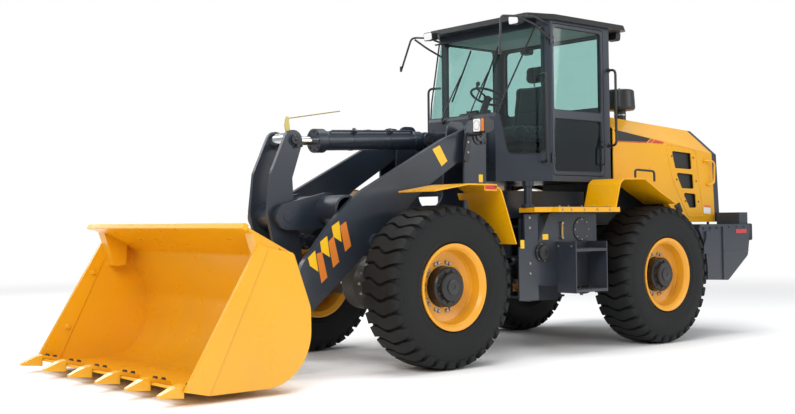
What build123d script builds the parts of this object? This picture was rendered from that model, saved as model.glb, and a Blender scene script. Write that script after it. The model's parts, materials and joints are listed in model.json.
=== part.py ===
"""Wheel loader of the three tonne class, standing level with its bucket just clear of the floor.

Every upright profile gives x from the centre pin, forward, and z from the floor; HINGE_X carries
that pin to its place in the machine, so that the middle of the whole length is at the origin.
"""
import os
from math import hypot

from build123d import *

os.makedirs("parts", exist_ok=True)

# ---------------------------------------------------------------- driving dimensions, millimetres
WHEELBASE = 2870
TRACK = 1865
REACH_FRONT = 4140  # centre pin to the tooth tips
REACH_REAR = 3010  # centre pin to the back of the rear lamps
WEIGHT_REAR = 2956  # centre pin to the back of the counterweight
HINGE_X = (REACH_REAR - REACH_FRONT) / 2
RUN = 0.3  # radial play of every pin
FRONT_X = WHEELBASE / 2
REAR_X = -WHEELBASE / 2

TYRE_R = 675
TYRE_W = 445
BEAD_R = 322  # tyre seat on the rim
FLANGE_R = 358
RIM_W = 410
HUB_R = 165

BOOM_FOOT = (FRONT_X - 815, 1980)  # x, z of the pin that carries the boom
BOOM_REACH = 2180  # foot pin to bucket pin, along x
BOOM_DROP = 1680  # the same, down
BUCKET_PIN = (BOOM_FOOT[0] + BOOM_REACH, BOOM_FOOT[1] - BOOM_DROP)
ARM_Y = 515  # middle of one arm plate
ARM_T = 50
TOWER_OUT = 600  # outer face of the outer tower plate
TOWER_IN = 350  # outer face of the inner tower plate
PLATE = 20

BUCKET_W = 2480
SHEET = 20
SIDE_SHEET = 20

CAB_HALF = 750
CAB_NOSE = 465  # half width of the cab at its windscreen
CAB_FRONT = 270
CAB_REAR = -1060
CAB_FLOOR = 1585
CAB_TOP = 3115
PILLAR = 45  # thickness of cab walls and doors
DOOR_FRONT = -200
DOOR_REAR = -970
DOOR_GAP = 6

HOOD_HALF = 750
HOOD_FRONT = -1105
HOOD_BOTTOM = 1185
HOOD_WALL = 10
ARCH_R = 895

RAIL_IN = 490  # inner face of a rear frame rail
RAIL_T = 25
LUG_Z = (1080, 560)  # heights of the two centre lugs
LUG_T = 60
LUG_PIN_R = 40

WEIGHT_HALF = 1100
WEIGHT_TOP = 1160


# ---------------------------------------------------------------- working planes and plate makers
def side(y):
    """Upright plane along the machine at y; a sketch on it is x forward, z up."""
    return Plane(origin=(HINGE_X, y, 0), x_dir=(1, 0, 0), z_dir=(0, -1, 0))


def level(z):
    """Level plane at height z; a sketch on it is x forward, y left."""
    return Plane(origin=(HINGE_X, 0, z))


def across(x):
    """Upright plane across the machine at x; a sketch on it is y left, z up."""
    return Plane(origin=(HINGE_X + x, 0, 0), x_dir=(0, 1, 0), z_dir=(1, 0, 0))


def trace(rows, mode=Mode.ADD):
    """Closed face from rows of (first, second, corner radius)."""
    with BuildLine() as line:
        FilletPolyline(*[row[:2] for row in rows], radius=[row[2] for row in rows], close=True)
    make_face(line.edges(), mode=mode)


def slab(rows, y_out, y_in, mode=Mode.ADD):
    """Upright plate with the profile rows, from y_in out to y_out."""
    with BuildSketch(side(y_out)) as sketch:
        trace(rows)
    extrude(sketch.sketch, amount=y_out - y_in, mode=mode)


def slabs(rows, y_out, y_in, mode=Mode.ADD):
    """The same plate on the left and on the right."""
    slab(rows, y_out, y_in, mode)
    slab(rows, -y_in, -y_out, mode)


def bar(x, z, r, y_out, y_in, mode=Mode.ADD):
    """Round bar along y through (x, z)."""
    with BuildSketch(side(y_out)) as sketch:
        with Locations((x, z)):
            Circle(r)
    extrude(sketch.sketch, amount=y_out - y_in, mode=mode)


def bars(x, z, r, y_out, y_in, mode=Mode.ADD):
    bar(x, z, r, y_out, y_in, mode)
    bar(x, z, r, -y_in, -y_out, mode)


def links(stations, y_out, y_in, mode=Mode.ADD):
    """Plate along y_in..y_out whose outline wraps rows of (x, z, radius), pair by pair."""
    with BuildSketch(side(y_out)) as sketch:
        for a, b in zip(stations, stations[1:]):
            with BuildSketch(mode=Mode.PRIVATE) as pair:
                for x, z, r in (a, b):
                    with Locations((x, z)):
                        Circle(r)
                make_hull()
            add(pair.sketch)
    extrude(sketch.sketch, amount=y_out - y_in, mode=mode)


def deck(rows, z_top, thickness, mode=Mode.ADD):
    """Level plate with the plan rows, hanging down from z_top."""
    with BuildSketch(level(z_top)) as sketch:
        trace(rows)
    extrude(sketch.sketch, amount=-thickness, mode=mode)


def box(x0, x1, y0, y1, z0, z1, mode=Mode.ADD):
    """Upright block between two corners."""
    with BuildSketch(level(z0)) as sketch:
        with Locations(((x0 + x1) / 2, (y0 + y1) / 2)):
            Rectangle(abs(x1 - x0), abs(y1 - y0))
    extrude(sketch.sketch, amount=z1 - z0, mode=mode)


def hand_span(sign, inner, outer):
    """Outer and inner y of a span on one side of the machine, the higher one first."""
    return (outer, inner) if sign > 0 else (-inner, -outer)


def save(builder, name):
    """Label a finished piece and write its file."""
    builder.part.label = name
    export_step(builder.part, f"parts/{name}.step")


# ---------------------------------------------------------------- wheels
SIDES = {"left": 1, "right": -1}
AXLES = {"front": FRONT_X, "rear": REAR_X}
AXLE_Z = TYRE_R

# half profile of the tyre: distance from its middle plane, radius, corner radius
TYRE_HALF = [
    (TYRE_W * 0.18, TYRE_R, 0),
    (TYRE_W * 0.42, TYRE_R - 18, 25),
    (TYRE_W * 0.47, TYRE_R - 75, 30),
    (TYRE_W * 0.50, TYRE_R - 165, 60),
    (TYRE_W * 0.49, FLANGE_R + 60, 40),
    (RIM_W / 2 - 16, FLANGE_R + 6, 6),
    (RIM_W / 2 - 22, BEAD_R + 1, 4),
]
# rim section: distance outboard of the middle plane, radius
DISC = 48  # outer face of the wheel disc
HUB_STEP = 142  # face of the planetary hub
HUB_CAP = 180  # face of its cover
RIM_SECTION = [
    (-RIM_W / 2, FLANGE_R), (-RIM_W / 2 + 14, FLANGE_R), (-RIM_W / 2 + 22, BEAD_R),
    (RIM_W / 2 - 22, BEAD_R), (RIM_W / 2 - 14, FLANGE_R), (RIM_W / 2, FLANGE_R),
    (RIM_W / 2, FLANGE_R - 14), (RIM_W / 2 - 10, BEAD_R + 4), (RIM_W / 2 - 34, BEAD_R - 16),
    (DISC + 40, BEAD_R - 20), (DISC + 16, BEAD_R - 34), (DISC, HUB_R + 70),
    (DISC, HUB_R), (HUB_STEP - 12, HUB_R), (HUB_STEP, HUB_R - 12), (HUB_STEP, HUB_R - 42),
    (HUB_CAP - 6, HUB_R - 48), (HUB_CAP, HUB_R - 56), (HUB_CAP, 0),
    (-60, 0), (-60, HUB_R - 10), (DISC - 20, HUB_R - 10), (DISC - 20, HUB_R + 66),
    (DISC - 4, BEAD_R - 40), (-RIM_W / 2 + 16, BEAD_R - 20), (-RIM_W / 2, FLANGE_R - 14),
]

for axle, axle_x in AXLES.items():
    for hand, sign in SIDES.items():
        spin = Axis((HINGE_X + axle_x, 0, AXLE_Z), (0, 1, 0))
        centre = (HINGE_X + axle_x, sign * TRACK / 2, AXLE_Z)
        middle = Plane(origin=centre, x_dir=(0, sign, 0), z_dir=(1, 0, 0))
        with BuildPart() as tyre:
            with BuildSketch(middle):
                with BuildLine():
                    half = TYRE_HALF
                    rows = half + [(-a, b, r) for a, b, r in reversed(half)]
                    FilletPolyline(*[row[:2] for row in rows], radius=[row[2] for row in rows], close=True)
                make_face()
            revolve(axis=spin)
        save(tyre, f"tyre_{axle}_{hand}")
        with BuildPart() as rim:
            with BuildSketch(middle):
                with BuildLine():
                    Polyline(*RIM_SECTION, close=True)
                make_face()
            revolve(axis=spin)
        save(rim, f"rim_{axle}_{hand}")

# ---------------------------------------------------------------- axles
# half profile of an axle: distance from the middle, radius
AXLE_HALF = [
    (0, 235), (80, 235), (170, 165), (300, 118), (600, 112), (650, 160),
    (TRACK / 2 - 190, 160), (TRACK / 2 - 180, 120), (TRACK / 2 - 65, 120),
]
for axle, axle_x in AXLES.items():
    with BuildPart() as housing:
        with BuildSketch(across(axle_x)):
            with BuildLine():
                top = [(a, AXLE_Z + r) for a, r in AXLE_HALF]
                left = top + [(AXLE_HALF[-1][0], AXLE_Z)]
                right = [(-a, z) for a, z in reversed(left)]
                Polyline(*(left + right), close=True)
            make_face()
        revolve(axis=Axis((HINGE_X + axle_x, 0, AXLE_Z), (0, 1, 0)))
        if axle == "front":
            for y in (-340, 340):
                box(axle_x - 110, axle_x + 110, y - 40, y + 40, AXLE_Z + 40, 800)
        else:
            with BuildSketch(across(axle_x - 270)):
                with Locations((0, AXLE_Z)):
                    Circle(95)
            extrude(amount=540)
    save(housing, f"{axle}_axle")

# ---------------------------------------------------------------- rear frame
RAIL = [
    (0, 1240, 20), (0, 520, 40), (-60, 450, 40), (-520, 450, 60), (-640, 620, 80),
    (REAR_X + 300, 860, 120), (REAR_X - 300, 860, 120), (-2040, 700, 40), (-2040, 1130, 40),
    (-700, 1150, 80), (-640, 1240, 60),
]
REAR_CROSSES = [  # x, bottom z and top z of the cross plates between the rails
    (-760, 700, 1130), (REAR_X + 240, 560, 1125), (REAR_X - 265, 560, 1125), (-2040, 720, 1120),
]
CROSS_T = 25
STEER_BASE = (-650, 350)
STEER_EYE = (250, 350)
STEER_Z = 835
with BuildPart() as rear_frame:
    slabs(RAIL, RAIL_IN + RAIL_T, RAIL_IN)
    for z in (1150, 470):
        box(-640, -110, -RAIL_IN, RAIL_IN, z, z + 20)
    for x, z0, z1 in REAR_CROSSES:
        box(x, x + CROSS_T, -RAIL_IN, RAIL_IN, z0, z1)
    box(-215, -190, -200, 200, 490, 1150)
    for z in LUG_Z:
        for z0 in (z + LUG_T / 2 + 6, z - LUG_T / 2 - 36):
            with BuildSketch(level(z0)):
                Circle(105)
                with Locations((-100, 0)):
                    Rectangle(200, 300)
            extrude(amount=30)
        with BuildSketch(level(z - LUG_T / 2 - 50)):
            Circle(LUG_PIN_R)
        extrude(amount=LUG_T + 100)
    for y in (-STEER_BASE[1], STEER_BASE[1]):
        for z0 in (STEER_Z + 50, STEER_Z - 70):
            with BuildSketch(level(z0)):
                with Locations((STEER_BASE[0], y)):
                    Circle(55)
                with Locations((STEER_BASE[0] - 45, y)):
                    Rectangle(90, 110)
            extrude(amount=20)
        with BuildSketch(level(STEER_Z - 80)):
            with Locations((STEER_BASE[0], y)):
                Circle(25)
        extrude(amount=160)
    with BuildSketch(across(REAR_X - 270)):
        with Locations((0, AXLE_Z)):
            Circle(95)
    extrude(amount=540, mode=Mode.SUBTRACT)
save(rear_frame, "rear_frame")

with BuildPart() as engine_block:
    box(-2250, -1250, -330, 330, WEIGHT_TOP + 10, 1850)
save(engine_block, "engine_block")

WEIGHT = [
    (-2041, WEIGHT_TOP, 0), (-WEIGHT_REAR, WEIGHT_TOP, 25), (-WEIGHT_REAR, WEIGHT_TOP - 70, 20),
    (-WEIGHT_REAR + 54, 828, 60), (-2530, 576, 60), (-2041, 597, 0),
]
CASTING_FRONT = -2448  # ahead of it the weight is a thinner side plate
WHEEL_ROOM = TYRE_R + 70
WEIGHT_IN = 560  # the weight is cut out for the wheels outside this
HORN = (-WEIGHT_REAR, -2800, 790, 1070)  # x and y spans of a raised rear corner
HORN_TOP = 1285
TOW_X = -WEIGHT_REAR + 110
TOW_R = 26
TOW_Z = 930
JAW_HALF = 40
HOOD_HINGE = (-2890, 1215)
HINGE_Y = (530, 625)
HINGE_ROOM = 35  # how far the rear cap stays clear of the lugs that carry it
with BuildPart() as counterweight:
    slab(WEIGHT, WEIGHT_HALF, -WEIGHT_HALF)
    bars(REAR_X, AXLE_Z, WHEEL_ROOM, WEIGHT_HALF + 10, WEIGHT_IN, Mode.SUBTRACT)
    for y_out, y_in in ((WEIGHT_HALF + 1, WEIGHT_HALF - 14), (-WEIGHT_HALF + 14, -WEIGHT_HALF - 1)):
        box(CASTING_FRONT, -2000, y_in, y_out, 560, WEIGHT_TOP - 24, Mode.SUBTRACT)
    box(-WEIGHT_REAR - 10, -WEIGHT_REAR + 260, -120, 120, TOW_Z - JAW_HALF, TOW_Z + JAW_HALF, Mode.SUBTRACT)
    with BuildSketch(level(TOW_Z - 400)):
        with Locations((TOW_X, 0)):
            Circle(TOW_R)
    extrude(amount=800, mode=Mode.SUBTRACT)
    for sign in SIDES.values():
        box(HORN[0], HORN[1], sign * HORN[2], sign * HORN[3], WEIGHT_TOP, HORN_TOP)
    slabs([
        (HOOD_HINGE[0] - 14, WEIGHT_TOP - 10, 0), (HOOD_HINGE[0] + 14, WEIGHT_TOP - 10, 0),
        (HOOD_HINGE[0] + 14, HOOD_HINGE[1], 0), (HOOD_HINGE[0] - 14, HOOD_HINGE[1], 0),
    ], HINGE_Y[1], HINGE_Y[1] - 15)
    bars(*HOOD_HINGE, 14, HINGE_Y[1], HINGE_Y[1] - 15)
    bars(*HOOD_HINGE, 9, HINGE_Y[1], HINGE_Y[0])
save(counterweight, "counterweight")

REAR_LAMP = (1060, 1075)  # y, z of the middle of a rear lamp
with BuildPart() as rear_lamps:
    for sign in SIDES.values():
        with BuildSketch(across(-WEIGHT_REAR)) as sketch:
            with Locations((sign * REAR_LAMP[0], REAR_LAMP[1])):
                RectangleRounded(76, 180, 18)
        extrude(sketch.sketch, amount=-(REACH_REAR - WEIGHT_REAR))
save(rear_lamps, "rear_lamps")

# ---------------------------------------------------------------- tanks, platforms, ladders
TANK_PLAN = [
    (-620, 530, 0), (-90, 530, 0), (-60, 630, 0), (200, 800, 0), (280, 905, 0), (280, 920, 0),
    (-620, 920, 0),
]
TANK_SIDE = [
    (-620, 600, 40), (-110, 610, 60), (280, 640, 60), (280, 870, 80), (40, 1285, 60), (-620, 1285, 30),
]
# plate ahead of a tank, drawn in at the height that the front fender sweeps past
SHIELD = [
    (200, 500, 0), (450, 500, 20), (450, 975, 20), (372, 1005, 0), (372, 1270, 20), (200, 1270, 0),
]
SHIELD_T = 15
PLATFORM_PLAN = [
    (-690, 530, 0), (30, 530, 0), (30, 790, 20), (170, 880, 20), (310, 975, 12), (330, 1000, 12),
    (180, 1060, 30),
    (160, 1150, 20), (-690, 1150, 0),
]
FENDER_LINE = [
    (-620, 1310), (-700, 1570), (-760, 1608), (REAR_X + 350, 1614), (REAR_X + 130, 1500),
    (REAR_X - 140, 1380),
]
FENDER_T = 12
DECK_IN = 530
DECK_OUT = 1150
PLATFORM_TOP = 1335
DECK_T = 45
TANK_OUT = 920
LADDER_X = (-500, -55)
LADDER_Z = (553, 1020)
for hand, sign in SIDES.items():
    with BuildPart() as tank:
        with BuildSketch(level(500)):
            trace([(a, sign * b, r) for a, b, r in TANK_PLAN])
        extrude(amount=900)
        with BuildSketch(side(1000)):
            trace(TANK_SIDE)
        extrude(amount=2000, mode=Mode.INTERSECT)
        slab(SHIELD, *hand_span(sign, TANK_OUT - SHIELD_T, TANK_OUT))
    save(tank, {"left": "fuel_tank", "right": "hydraulic_tank"}[hand])
    with BuildPart() as platform:
        deck([(a, sign * b, r) for a, b, r in PLATFORM_PLAN], PLATFORM_TOP, DECK_T)
        with BuildSketch(side(DECK_OUT if sign > 0 else -HOOD_HALF - 15)):
            with BuildLine():
                path = FilletPolyline(*FENDER_LINE, radius=60)
                offset(path, amount=FENDER_T, side=Side.LEFT)
            make_face()
        extrude(amount=DECK_OUT - HOOD_HALF - 15)
    save(platform, f"platform_{hand}")

TREADS = (930, 560)
with BuildPart() as ladders:
    for sign in SIDES.values():
        for x in (LADDER_X[0], LADDER_X[1] - 12):
            box(x, x + 12, sign * TANK_OUT, sign * (DECK_OUT - 5), *LADDER_Z)
        for z in TREADS:
            box(
                LADDER_X[0] + 12, LADDER_X[1] - 12,
                sign * (DECK_OUT - 175), sign * (DECK_OUT - 5), z, z + 25,
            )
save(ladders, "ladders")

# ---------------------------------------------------------------- cab
BASE = (-1000, 100, 450)  # x span and half width of the box that the cab stands over
MOUNTS = (-1010, -20)
BASE_Z = (1240, 1500)
RUBBER_MOUNT = [(0, 62, 30), (30, 40, 170), (200, 55, 50)]  # above the platform, radius, height
with BuildPart() as cab_base:
    box(BASE[0], BASE[1], -BASE[2], BASE[2], *BASE_Z)
    for x in MOUNTS:
        for y in (-600, 600):
            for rise, r, height in RUBBER_MOUNT:
                with BuildSketch(level(PLATFORM_TOP + rise)):
                    with Locations((x, y)):
                        Circle(r)
                extrude(amount=height)
save(cab_base, "cab_base")

SCREEN_FOOT = (CAB_FRONT - 5, 2210)  # x, z where the sloping windscreen starts
SCREEN_HEAD = (-90, CAB_TOP)


def cab_form(inset):
    """Solid bounded by the cab's outer faces moved in by inset."""
    plan = [
        (CAB_FRONT, CAB_NOSE), (DOOR_FRONT, CAB_HALF), (CAB_REAR, CAB_HALF),
        (CAB_REAR, -CAB_HALF), (DOOR_FRONT, -CAB_HALF), (CAB_FRONT, -CAB_NOSE),
    ]
    slope = Vector(SCREEN_HEAD[0] - SCREEN_FOOT[0], SCREEN_HEAD[1] - SCREEN_FOOT[1]).normalized()
    foot = Vector(*SCREEN_FOOT) + Vector(-slope.Y, slope.X) * inset
    ahead = [foot - slope * 400, foot + slope * 1400]
    with BuildPart(mode=Mode.PRIVATE) as form:
        with BuildSketch(level(CAB_FLOOR + inset)) as base:
            with BuildLine() as line:
                Polyline(*plan, close=True)
            make_face(line.edges())
            if inset:
                offset(amount=-inset, kind=Kind.INTERSECTION)
        extrude(base.sketch, amount=CAB_TOP - CAB_FLOOR - 2 * inset)
        with BuildSketch(side(2000)) as wedge:
            with BuildLine() as line:
                Polyline(
                    tuple(ahead[0])[:2], tuple(ahead[1])[:2],
                    (2000, ahead[1].Y), (2000, ahead[0].Y), close=True,
                )
            make_face(line.edges())
        extrude(wedge.sketch, amount=4000, mode=Mode.SUBTRACT)
    return form.part


def prism(plane, rows, amount):
    """Straight solid on a plane, for windows and doors."""
    with BuildPart(mode=Mode.PRIVATE) as cutter:
        with BuildSketch(plane) as sketch:
            trace(rows)
        extrude(sketch.sketch, amount=amount, both=True)
    return cutter.part


# outlines of the cab's openings: (first, second, corner radius)
SCREEN = [(-700, 2225, 20), (700, 2225, 20), (700, 3050, 20), (-700, 3050, 20)]
REAR_WINDOW = [(-660, 2330, 60), (660, 2330, 60), (660, 3045, 60), (-660, 3045, 60)]
WING = [
    (DOOR_FRONT + 50, 1837, 50), (170, 1837, 60), (236, 2224, 0), (236, 3050, 0),
    (DOOR_FRONT + 50, 3050, 20),
]
DOORWAY = [
    (DOOR_REAR, 1640, 40), (DOOR_FRONT - 6, 1640, 40), (DOOR_FRONT - 6, 3092, 40), (DOOR_REAR, 3092, 40),
]
DOOR_BAR = 38  # width of a door's frame members
DOOR_UPPER = [
    (DOOR_REAR + DOOR_BAR, 2262, 30), (DOOR_FRONT - DOOR_BAR, 2262, 30),
    (DOOR_FRONT - DOOR_BAR, 3056, 40), (DOOR_REAR + DOOR_BAR, 3056, 40),
]
DOOR_LOWER = [
    (DOOR_REAR + DOOR_BAR, 1680, 40), (DOOR_FRONT - DOOR_BAR, 1680, 40),
    (DOOR_FRONT - DOOR_BAR, 2186, 30), (DOOR_REAR + DOOR_BAR, 2186, 30),
]
DOOR_HINGE = (-195, CAB_HALF + 7)
HINGE_SPANS = ((1760, 1850), (2880, 2970))
KNUCKLE_R = 10


def knuckles(sign, r, mode=Mode.ADD):
    """Upright round bars of radius r on a door's hinge line."""
    for low, high in HINGE_SPANS:
        with BuildSketch(level(low)) as sketch:
            with Locations((DOOR_HINGE[0], sign * DOOR_HINGE[1])):
                Circle(r)
        extrude(sketch.sketch, amount=high - low, mode=mode)


GLASS_IN = 16
GLASS_T = 6

outer_form = cab_form(0)
inner_form = cab_form(PILLAR)
glass_form = cab_form(GLASS_IN)
glass_inner_form = cab_form(GLASS_IN + GLASS_T)
front_window = prism(across(CAB_FRONT), SCREEN, 420)
rear_window = prism(across(CAB_REAR), REAR_WINDOW, 200)
wings = [prism(side(sign * 620), WING, 260) for sign in SIDES.values()]
doorways = [prism(side(sign * CAB_HALF), DOORWAY, 80) for sign in SIDES.values()]

with BuildPart() as cab_frame:
    add(outer_form)
    add(inner_form, mode=Mode.SUBTRACT)
    for opening in [front_window, rear_window] + wings + doorways:
        add(opening, mode=Mode.SUBTRACT)
    for sign in SIDES.values():
        knuckles(sign, KNUCKLE_R + 6, Mode.SUBTRACT)
save(cab_frame, "cab_frame")

with BuildPart() as cab_glass:
    add(glass_form)
    add(glass_inner_form, mode=Mode.SUBTRACT)
    with BuildPart(mode=Mode.PRIVATE) as panes:
        for opening in [front_window, rear_window] + wings:
            add(opening)
    add(panes.part, mode=Mode.INTERSECT)
save(cab_glass, "cab_glass")

for hand, sign in SIDES.items():
    windows = [prism(side(sign * CAB_HALF), rows, 80) for rows in (DOOR_UPPER, DOOR_LOWER)]
    with BuildPart(mode=Mode.PRIVATE) as leaf:
        with BuildSketch(side(sign * CAB_HALF)) as sketch:
            trace(DOORWAY)
            offset(amount=-DOOR_GAP)
        extrude(sketch.sketch, amount=80, both=True)
    with BuildPart() as door:
        add(outer_form)
        add(inner_form, mode=Mode.SUBTRACT)
        add(leaf.part, mode=Mode.INTERSECT)
        for window in windows:
            add(window, mode=Mode.SUBTRACT)
        knuckles(sign, KNUCKLE_R)
        for low, high in HINGE_SPANS:
            y = sign * CAB_HALF
            box(DOOR_FRONT - 40, DOOR_HINGE[0], y - sign, y + sign * 6, low, high)
    save(door, f"door_{hand}")
    with BuildPart() as door_glass:
        add(glass_form)
        add(glass_inner_form, mode=Mode.SUBTRACT)
        with BuildPart(mode=Mode.PRIVATE) as panes:
            for window in windows:
                add(window)
        add(panes.part, mode=Mode.INTERSECT)
    save(door_glass, f"door_glass_{hand}")

ROOF_PLAN = [
    (70, 690, 60), (-230, 800, 80), (-1320, 800, 80), (-1320, -800, 80), (-230, -800, 80), (70, -690, 60),
]
ROOF_T = 55
HATCH = (-1345, -720, 700)  # x span and half width of the raised rear part
with BuildPart() as cab_roof:
    with BuildSketch(level(CAB_TOP)) as sketch:
        trace(ROOF_PLAN)
    extrude(sketch.sketch, amount=ROOF_T, taper=20)
    with BuildSketch(level(CAB_TOP + ROOF_T)) as sketch:
        with Locations(((HATCH[0] + HATCH[1]) / 2, 0)):
            RectangleRounded(HATCH[1] - HATCH[0], 2 * HATCH[2], 40)
    extrude(sketch.sketch, amount=22)
save(cab_roof, "cab_roof")

SEAT_X = -560  # middle of the cushion
SEAT_Z = 2130
with BuildPart() as seat:
    box(SEAT_X - 180, SEAT_X + 180, -180, 180, CAB_FLOOR + PILLAR, SEAT_Z - 110)
    with BuildSketch(side(250)) as sketch:
        trace([
            (SEAT_X - 250, SEAT_Z - 110, 30), (SEAT_X + 250, SEAT_Z - 100, 50),
            (SEAT_X + 250, SEAT_Z + 20, 50),
            (SEAT_X - 120, SEAT_Z, 30), (SEAT_X - 200, SEAT_Z + 490, 50), (SEAT_X - 300, SEAT_Z + 490, 50),
        ])
    extrude(sketch.sketch, amount=500)
    box(SEAT_X - 285, SEAT_X - 205, -130, 130, SEAT_Z + 500, SEAT_Z + 680)
save(seat, "seat")

WHEEL_AT = (-105, 2430)  # x, z of the middle of the steering wheel
LEAN = (-0.45, 0, 1)  # direction of the steering column
with BuildPart() as steering_column:
    box(20, 170, -180, 180, CAB_FLOOR + PILLAR, 2190)
    with BuildSketch(Plane(origin=(HINGE_X + 25, 0, 2150), z_dir=LEAN)) as sketch:
        Circle(35)
    extrude(sketch.sketch, amount=300)
    with BuildSketch(Plane(origin=(HINGE_X + WHEEL_AT[0], 0, WHEEL_AT[1]), z_dir=LEAN)) as sketch:
        Circle(190)
        Circle(165, mode=Mode.SUBTRACT)
        Rectangle(345, 40)
    extrude(sketch.sketch, amount=26)
save(steering_column, "steering_column")

# ---------------------------------------------------------------- engine hood
HOOD_REAR = -2925
# cross sections of the hood: place along x, height of the side's top edge, height of the crown's edge
HOOD_ENDS = [(HOOD_FRONT, 2125, 2285), (HOOD_REAR, 1915, 2180)]
HOOD_CROWN = 500


def hood_form(inset):
    """Tapering body of the hood with its faces moved in by inset, open below."""
    sections = []
    for x, shoulder, crown in HOOD_ENDS:
        with BuildSketch(across(x)) as sketch:
            trace([
                (-HOOD_HALF + inset, HOOD_BOTTOM, 0), (HOOD_HALF - inset, HOOD_BOTTOM, 0),
                (HOOD_HALF - inset, shoulder - inset / 2, 0), (HOOD_CROWN - inset / 2, crown - inset, 0),
                (-HOOD_CROWN + inset / 2, crown - inset, 0), (-HOOD_HALF + inset, shoulder - inset / 2, 0),
            ])
        sections.append(sketch.sketch)
    with BuildPart(mode=Mode.PRIVATE) as form:
        loft(sections, ruled=True)
        slab([
            (HOOD_REAR + 53 + inset, 1918, 0), (-2758 + inset, 2194, 0), (-2700, 2500, 0),
            (-3200, 2500, 0), (-3200, 1918, 0),
        ], 900, -900, Mode.SUBTRACT)
        slab([
            (HOOD_REAR + 3 + inset, 1100, 0), (HOOD_REAR + 53 + inset, 1919, 0),
            (-3200, 1919, 0), (-3200, 1100, 0),
        ], 900, -900, Mode.SUBTRACT)
    return form.part


# line, seen from the side, where the yellow hood ends and the dark rear cap starts: x, z
CAP_LINE = [(-2832, 1100), (-2790, 1918), (-2690, 2210), (-2600, 2500)]
LOUVRES = [  # outlines of the openings in the hood's side: x, z, corner radius
    [(-2070, 1935, 20), (-2405, 1920, 20), (-2420, 1748, 20), (-2125, 1755, 20)],
    [(-2140, 1708, 20), (-2436, 1695, 20), (-2452, 1540, 20), (-2235, 1545, 20)],
    [(-2252, 1498, 20), (-2478, 1485, 20), (-2492, 1338, 20), (-2366, 1338, 20)],
]
SLAT_BOTTOM = 1340
SLATS = 10
SLAT_PITCH = 50
SLAT_GAP = 30
SLAT_HALF = 450
with BuildPart(mode=Mode.PRIVATE) as behind:
    slab([(x, z, 0) for x, z in CAP_LINE] + [(-3300, 2500, 0), (-3300, 1100, 0)], 900, -900)
cap_zone = behind.part

with BuildPart() as engine_hood:
    add(hood_form(0))
    add(hood_form(HOOD_WALL), mode=Mode.SUBTRACT)
    with BuildPart(mode=Mode.PRIVATE) as lips:
        for y_out, y_in in ((HOOD_HALF, HOOD_HALF - 70), (-HOOD_HALF + 70, -HOOD_HALF)):
            bar(REAR_X, AXLE_Z, ARCH_R + 12, y_out, y_in)
        add(hood_form(0), mode=Mode.INTERSECT)
    add(lips.part)
    bars(REAR_X, AXLE_Z, ARCH_R, HOOD_HALF + 10, 560, Mode.SUBTRACT)
    for rows in LOUVRES:
        slabs(rows, HOOD_HALF + 50, HOOD_HALF - 50, Mode.SUBTRACT)
    add(cap_zone, mode=Mode.SUBTRACT)
save(engine_hood, "engine_hood")

with BuildPart() as rear_grille:
    add(hood_form(0))
    add(hood_form(HOOD_WALL), mode=Mode.SUBTRACT)
    add(cap_zone, mode=Mode.INTERSECT)
    for i in range(SLATS):
        z = SLAT_BOTTOM + SLAT_PITCH * i
        box(HOOD_REAR - 100, HOOD_REAR + 200, -SLAT_HALF, SLAT_HALF, z, z + SLAT_GAP, Mode.SUBTRACT)
    for sign in SIDES.values():
        box(
            HOOD_REAR - 10, HOOD_HINGE[0] + HINGE_ROOM, sign * (HINGE_Y[1] - 22), sign * (HINGE_Y[1] + 8),
            HOOD_BOTTOM - 10, HOOD_HINGE[1] + HINGE_ROOM, Mode.SUBTRACT,
        )
    for y_out, y_in in ((HINGE_Y[1] - 20, HINGE_Y[0] + 5), (-HINGE_Y[0] - 5, -HINGE_Y[1] + 20)):
        bar(*HOOD_HINGE, 25, y_out, y_in)
        bar(*HOOD_HINGE, 9 + RUN, y_out, y_in, Mode.SUBTRACT)
save(rear_grille, "rear_grille")

CLEANER = (-1750, 330)
# half profile of the pre-cleaner: distance from its axis, height, corner radius
CLEANER_HALF = [
    (0, 2150, 0), (62, 2150, 0), (62, 2372, 0), (150, 2376, 12), (162, 2400, 12), (150, 2590, 24),
    (0, 2606, 0),
]
with BuildPart() as precleaner:
    with BuildSketch(side(CLEANER[1])) as sketch:
        trace([(CLEANER[0] + a, z, r) for a, z, r in CLEANER_HALF])
    revolve(sketch.sketch, axis=Axis((HINGE_X + CLEANER[0], CLEANER[1], 0), (0, 0, 1)))
    add(hood_form(0), mode=Mode.SUBTRACT)
save(precleaner, "precleaner")

# ---------------------------------------------------------------- front frame
LIFT_BASE = (420, 950)
LIFT_Y = 420
LIFT_HALF = 40
TILT_BASE = (780, 1972)
PIN_R = 35
FOOT_PIN_R = 45
OUTER_TOWER = [
    (530, 2050, 60), (590, 2130, 60), (760, 2130, 90), (800, 1900, 0), (810, 1310, 0), (490, 1310, 0),
    (530, 1500, 100),
]
LIFT_PLATE = [
    (500, 1310, 0), (800, 1310, 0), (800, 1150, 60), (640, 850, 60), (350, 850, 60), (350, 1050, 60),
]
LIFT_PLATE_OUT = 510
INNER_TOWER = [
    (530, 2050, 60), (590, 2130, 60), (760, 2130, 90), (800, 1900, 0), (840, 1420, 120), (1180, 1120, 120),
    (FRONT_X + 265, 1020, 60), (FRONT_X + 265, 800, 20), (FRONT_X - 225, 800, 60), (1080, 600, 80),
    (300, 520, 40), (300, 1130, 40), (530, 1420, 120),
]
LIFT_FLOOR = (350, 640, 850, 870)  # x and z spans of the plate under a lift cylinder's foot
SHELF = (490, 540, 1290, 1310)  # x and z spans of the shelf that joins the two tower plates
TOWER_BACK = (530, 550, 1320, 1800)  # x and z spans of a tower's rear wall
TILT_LUG = [
    (560, 1850, 0), (640, 1850, 60), (TILT_BASE[0] + 60, 1925, 40),
    (TILT_BASE[0] + 60, 2030, 40), (TILT_BASE[0] - 60, 2040, 40), (560, 2040, 0),
]
TILT_LUG_Y = (95, 120)


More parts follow.
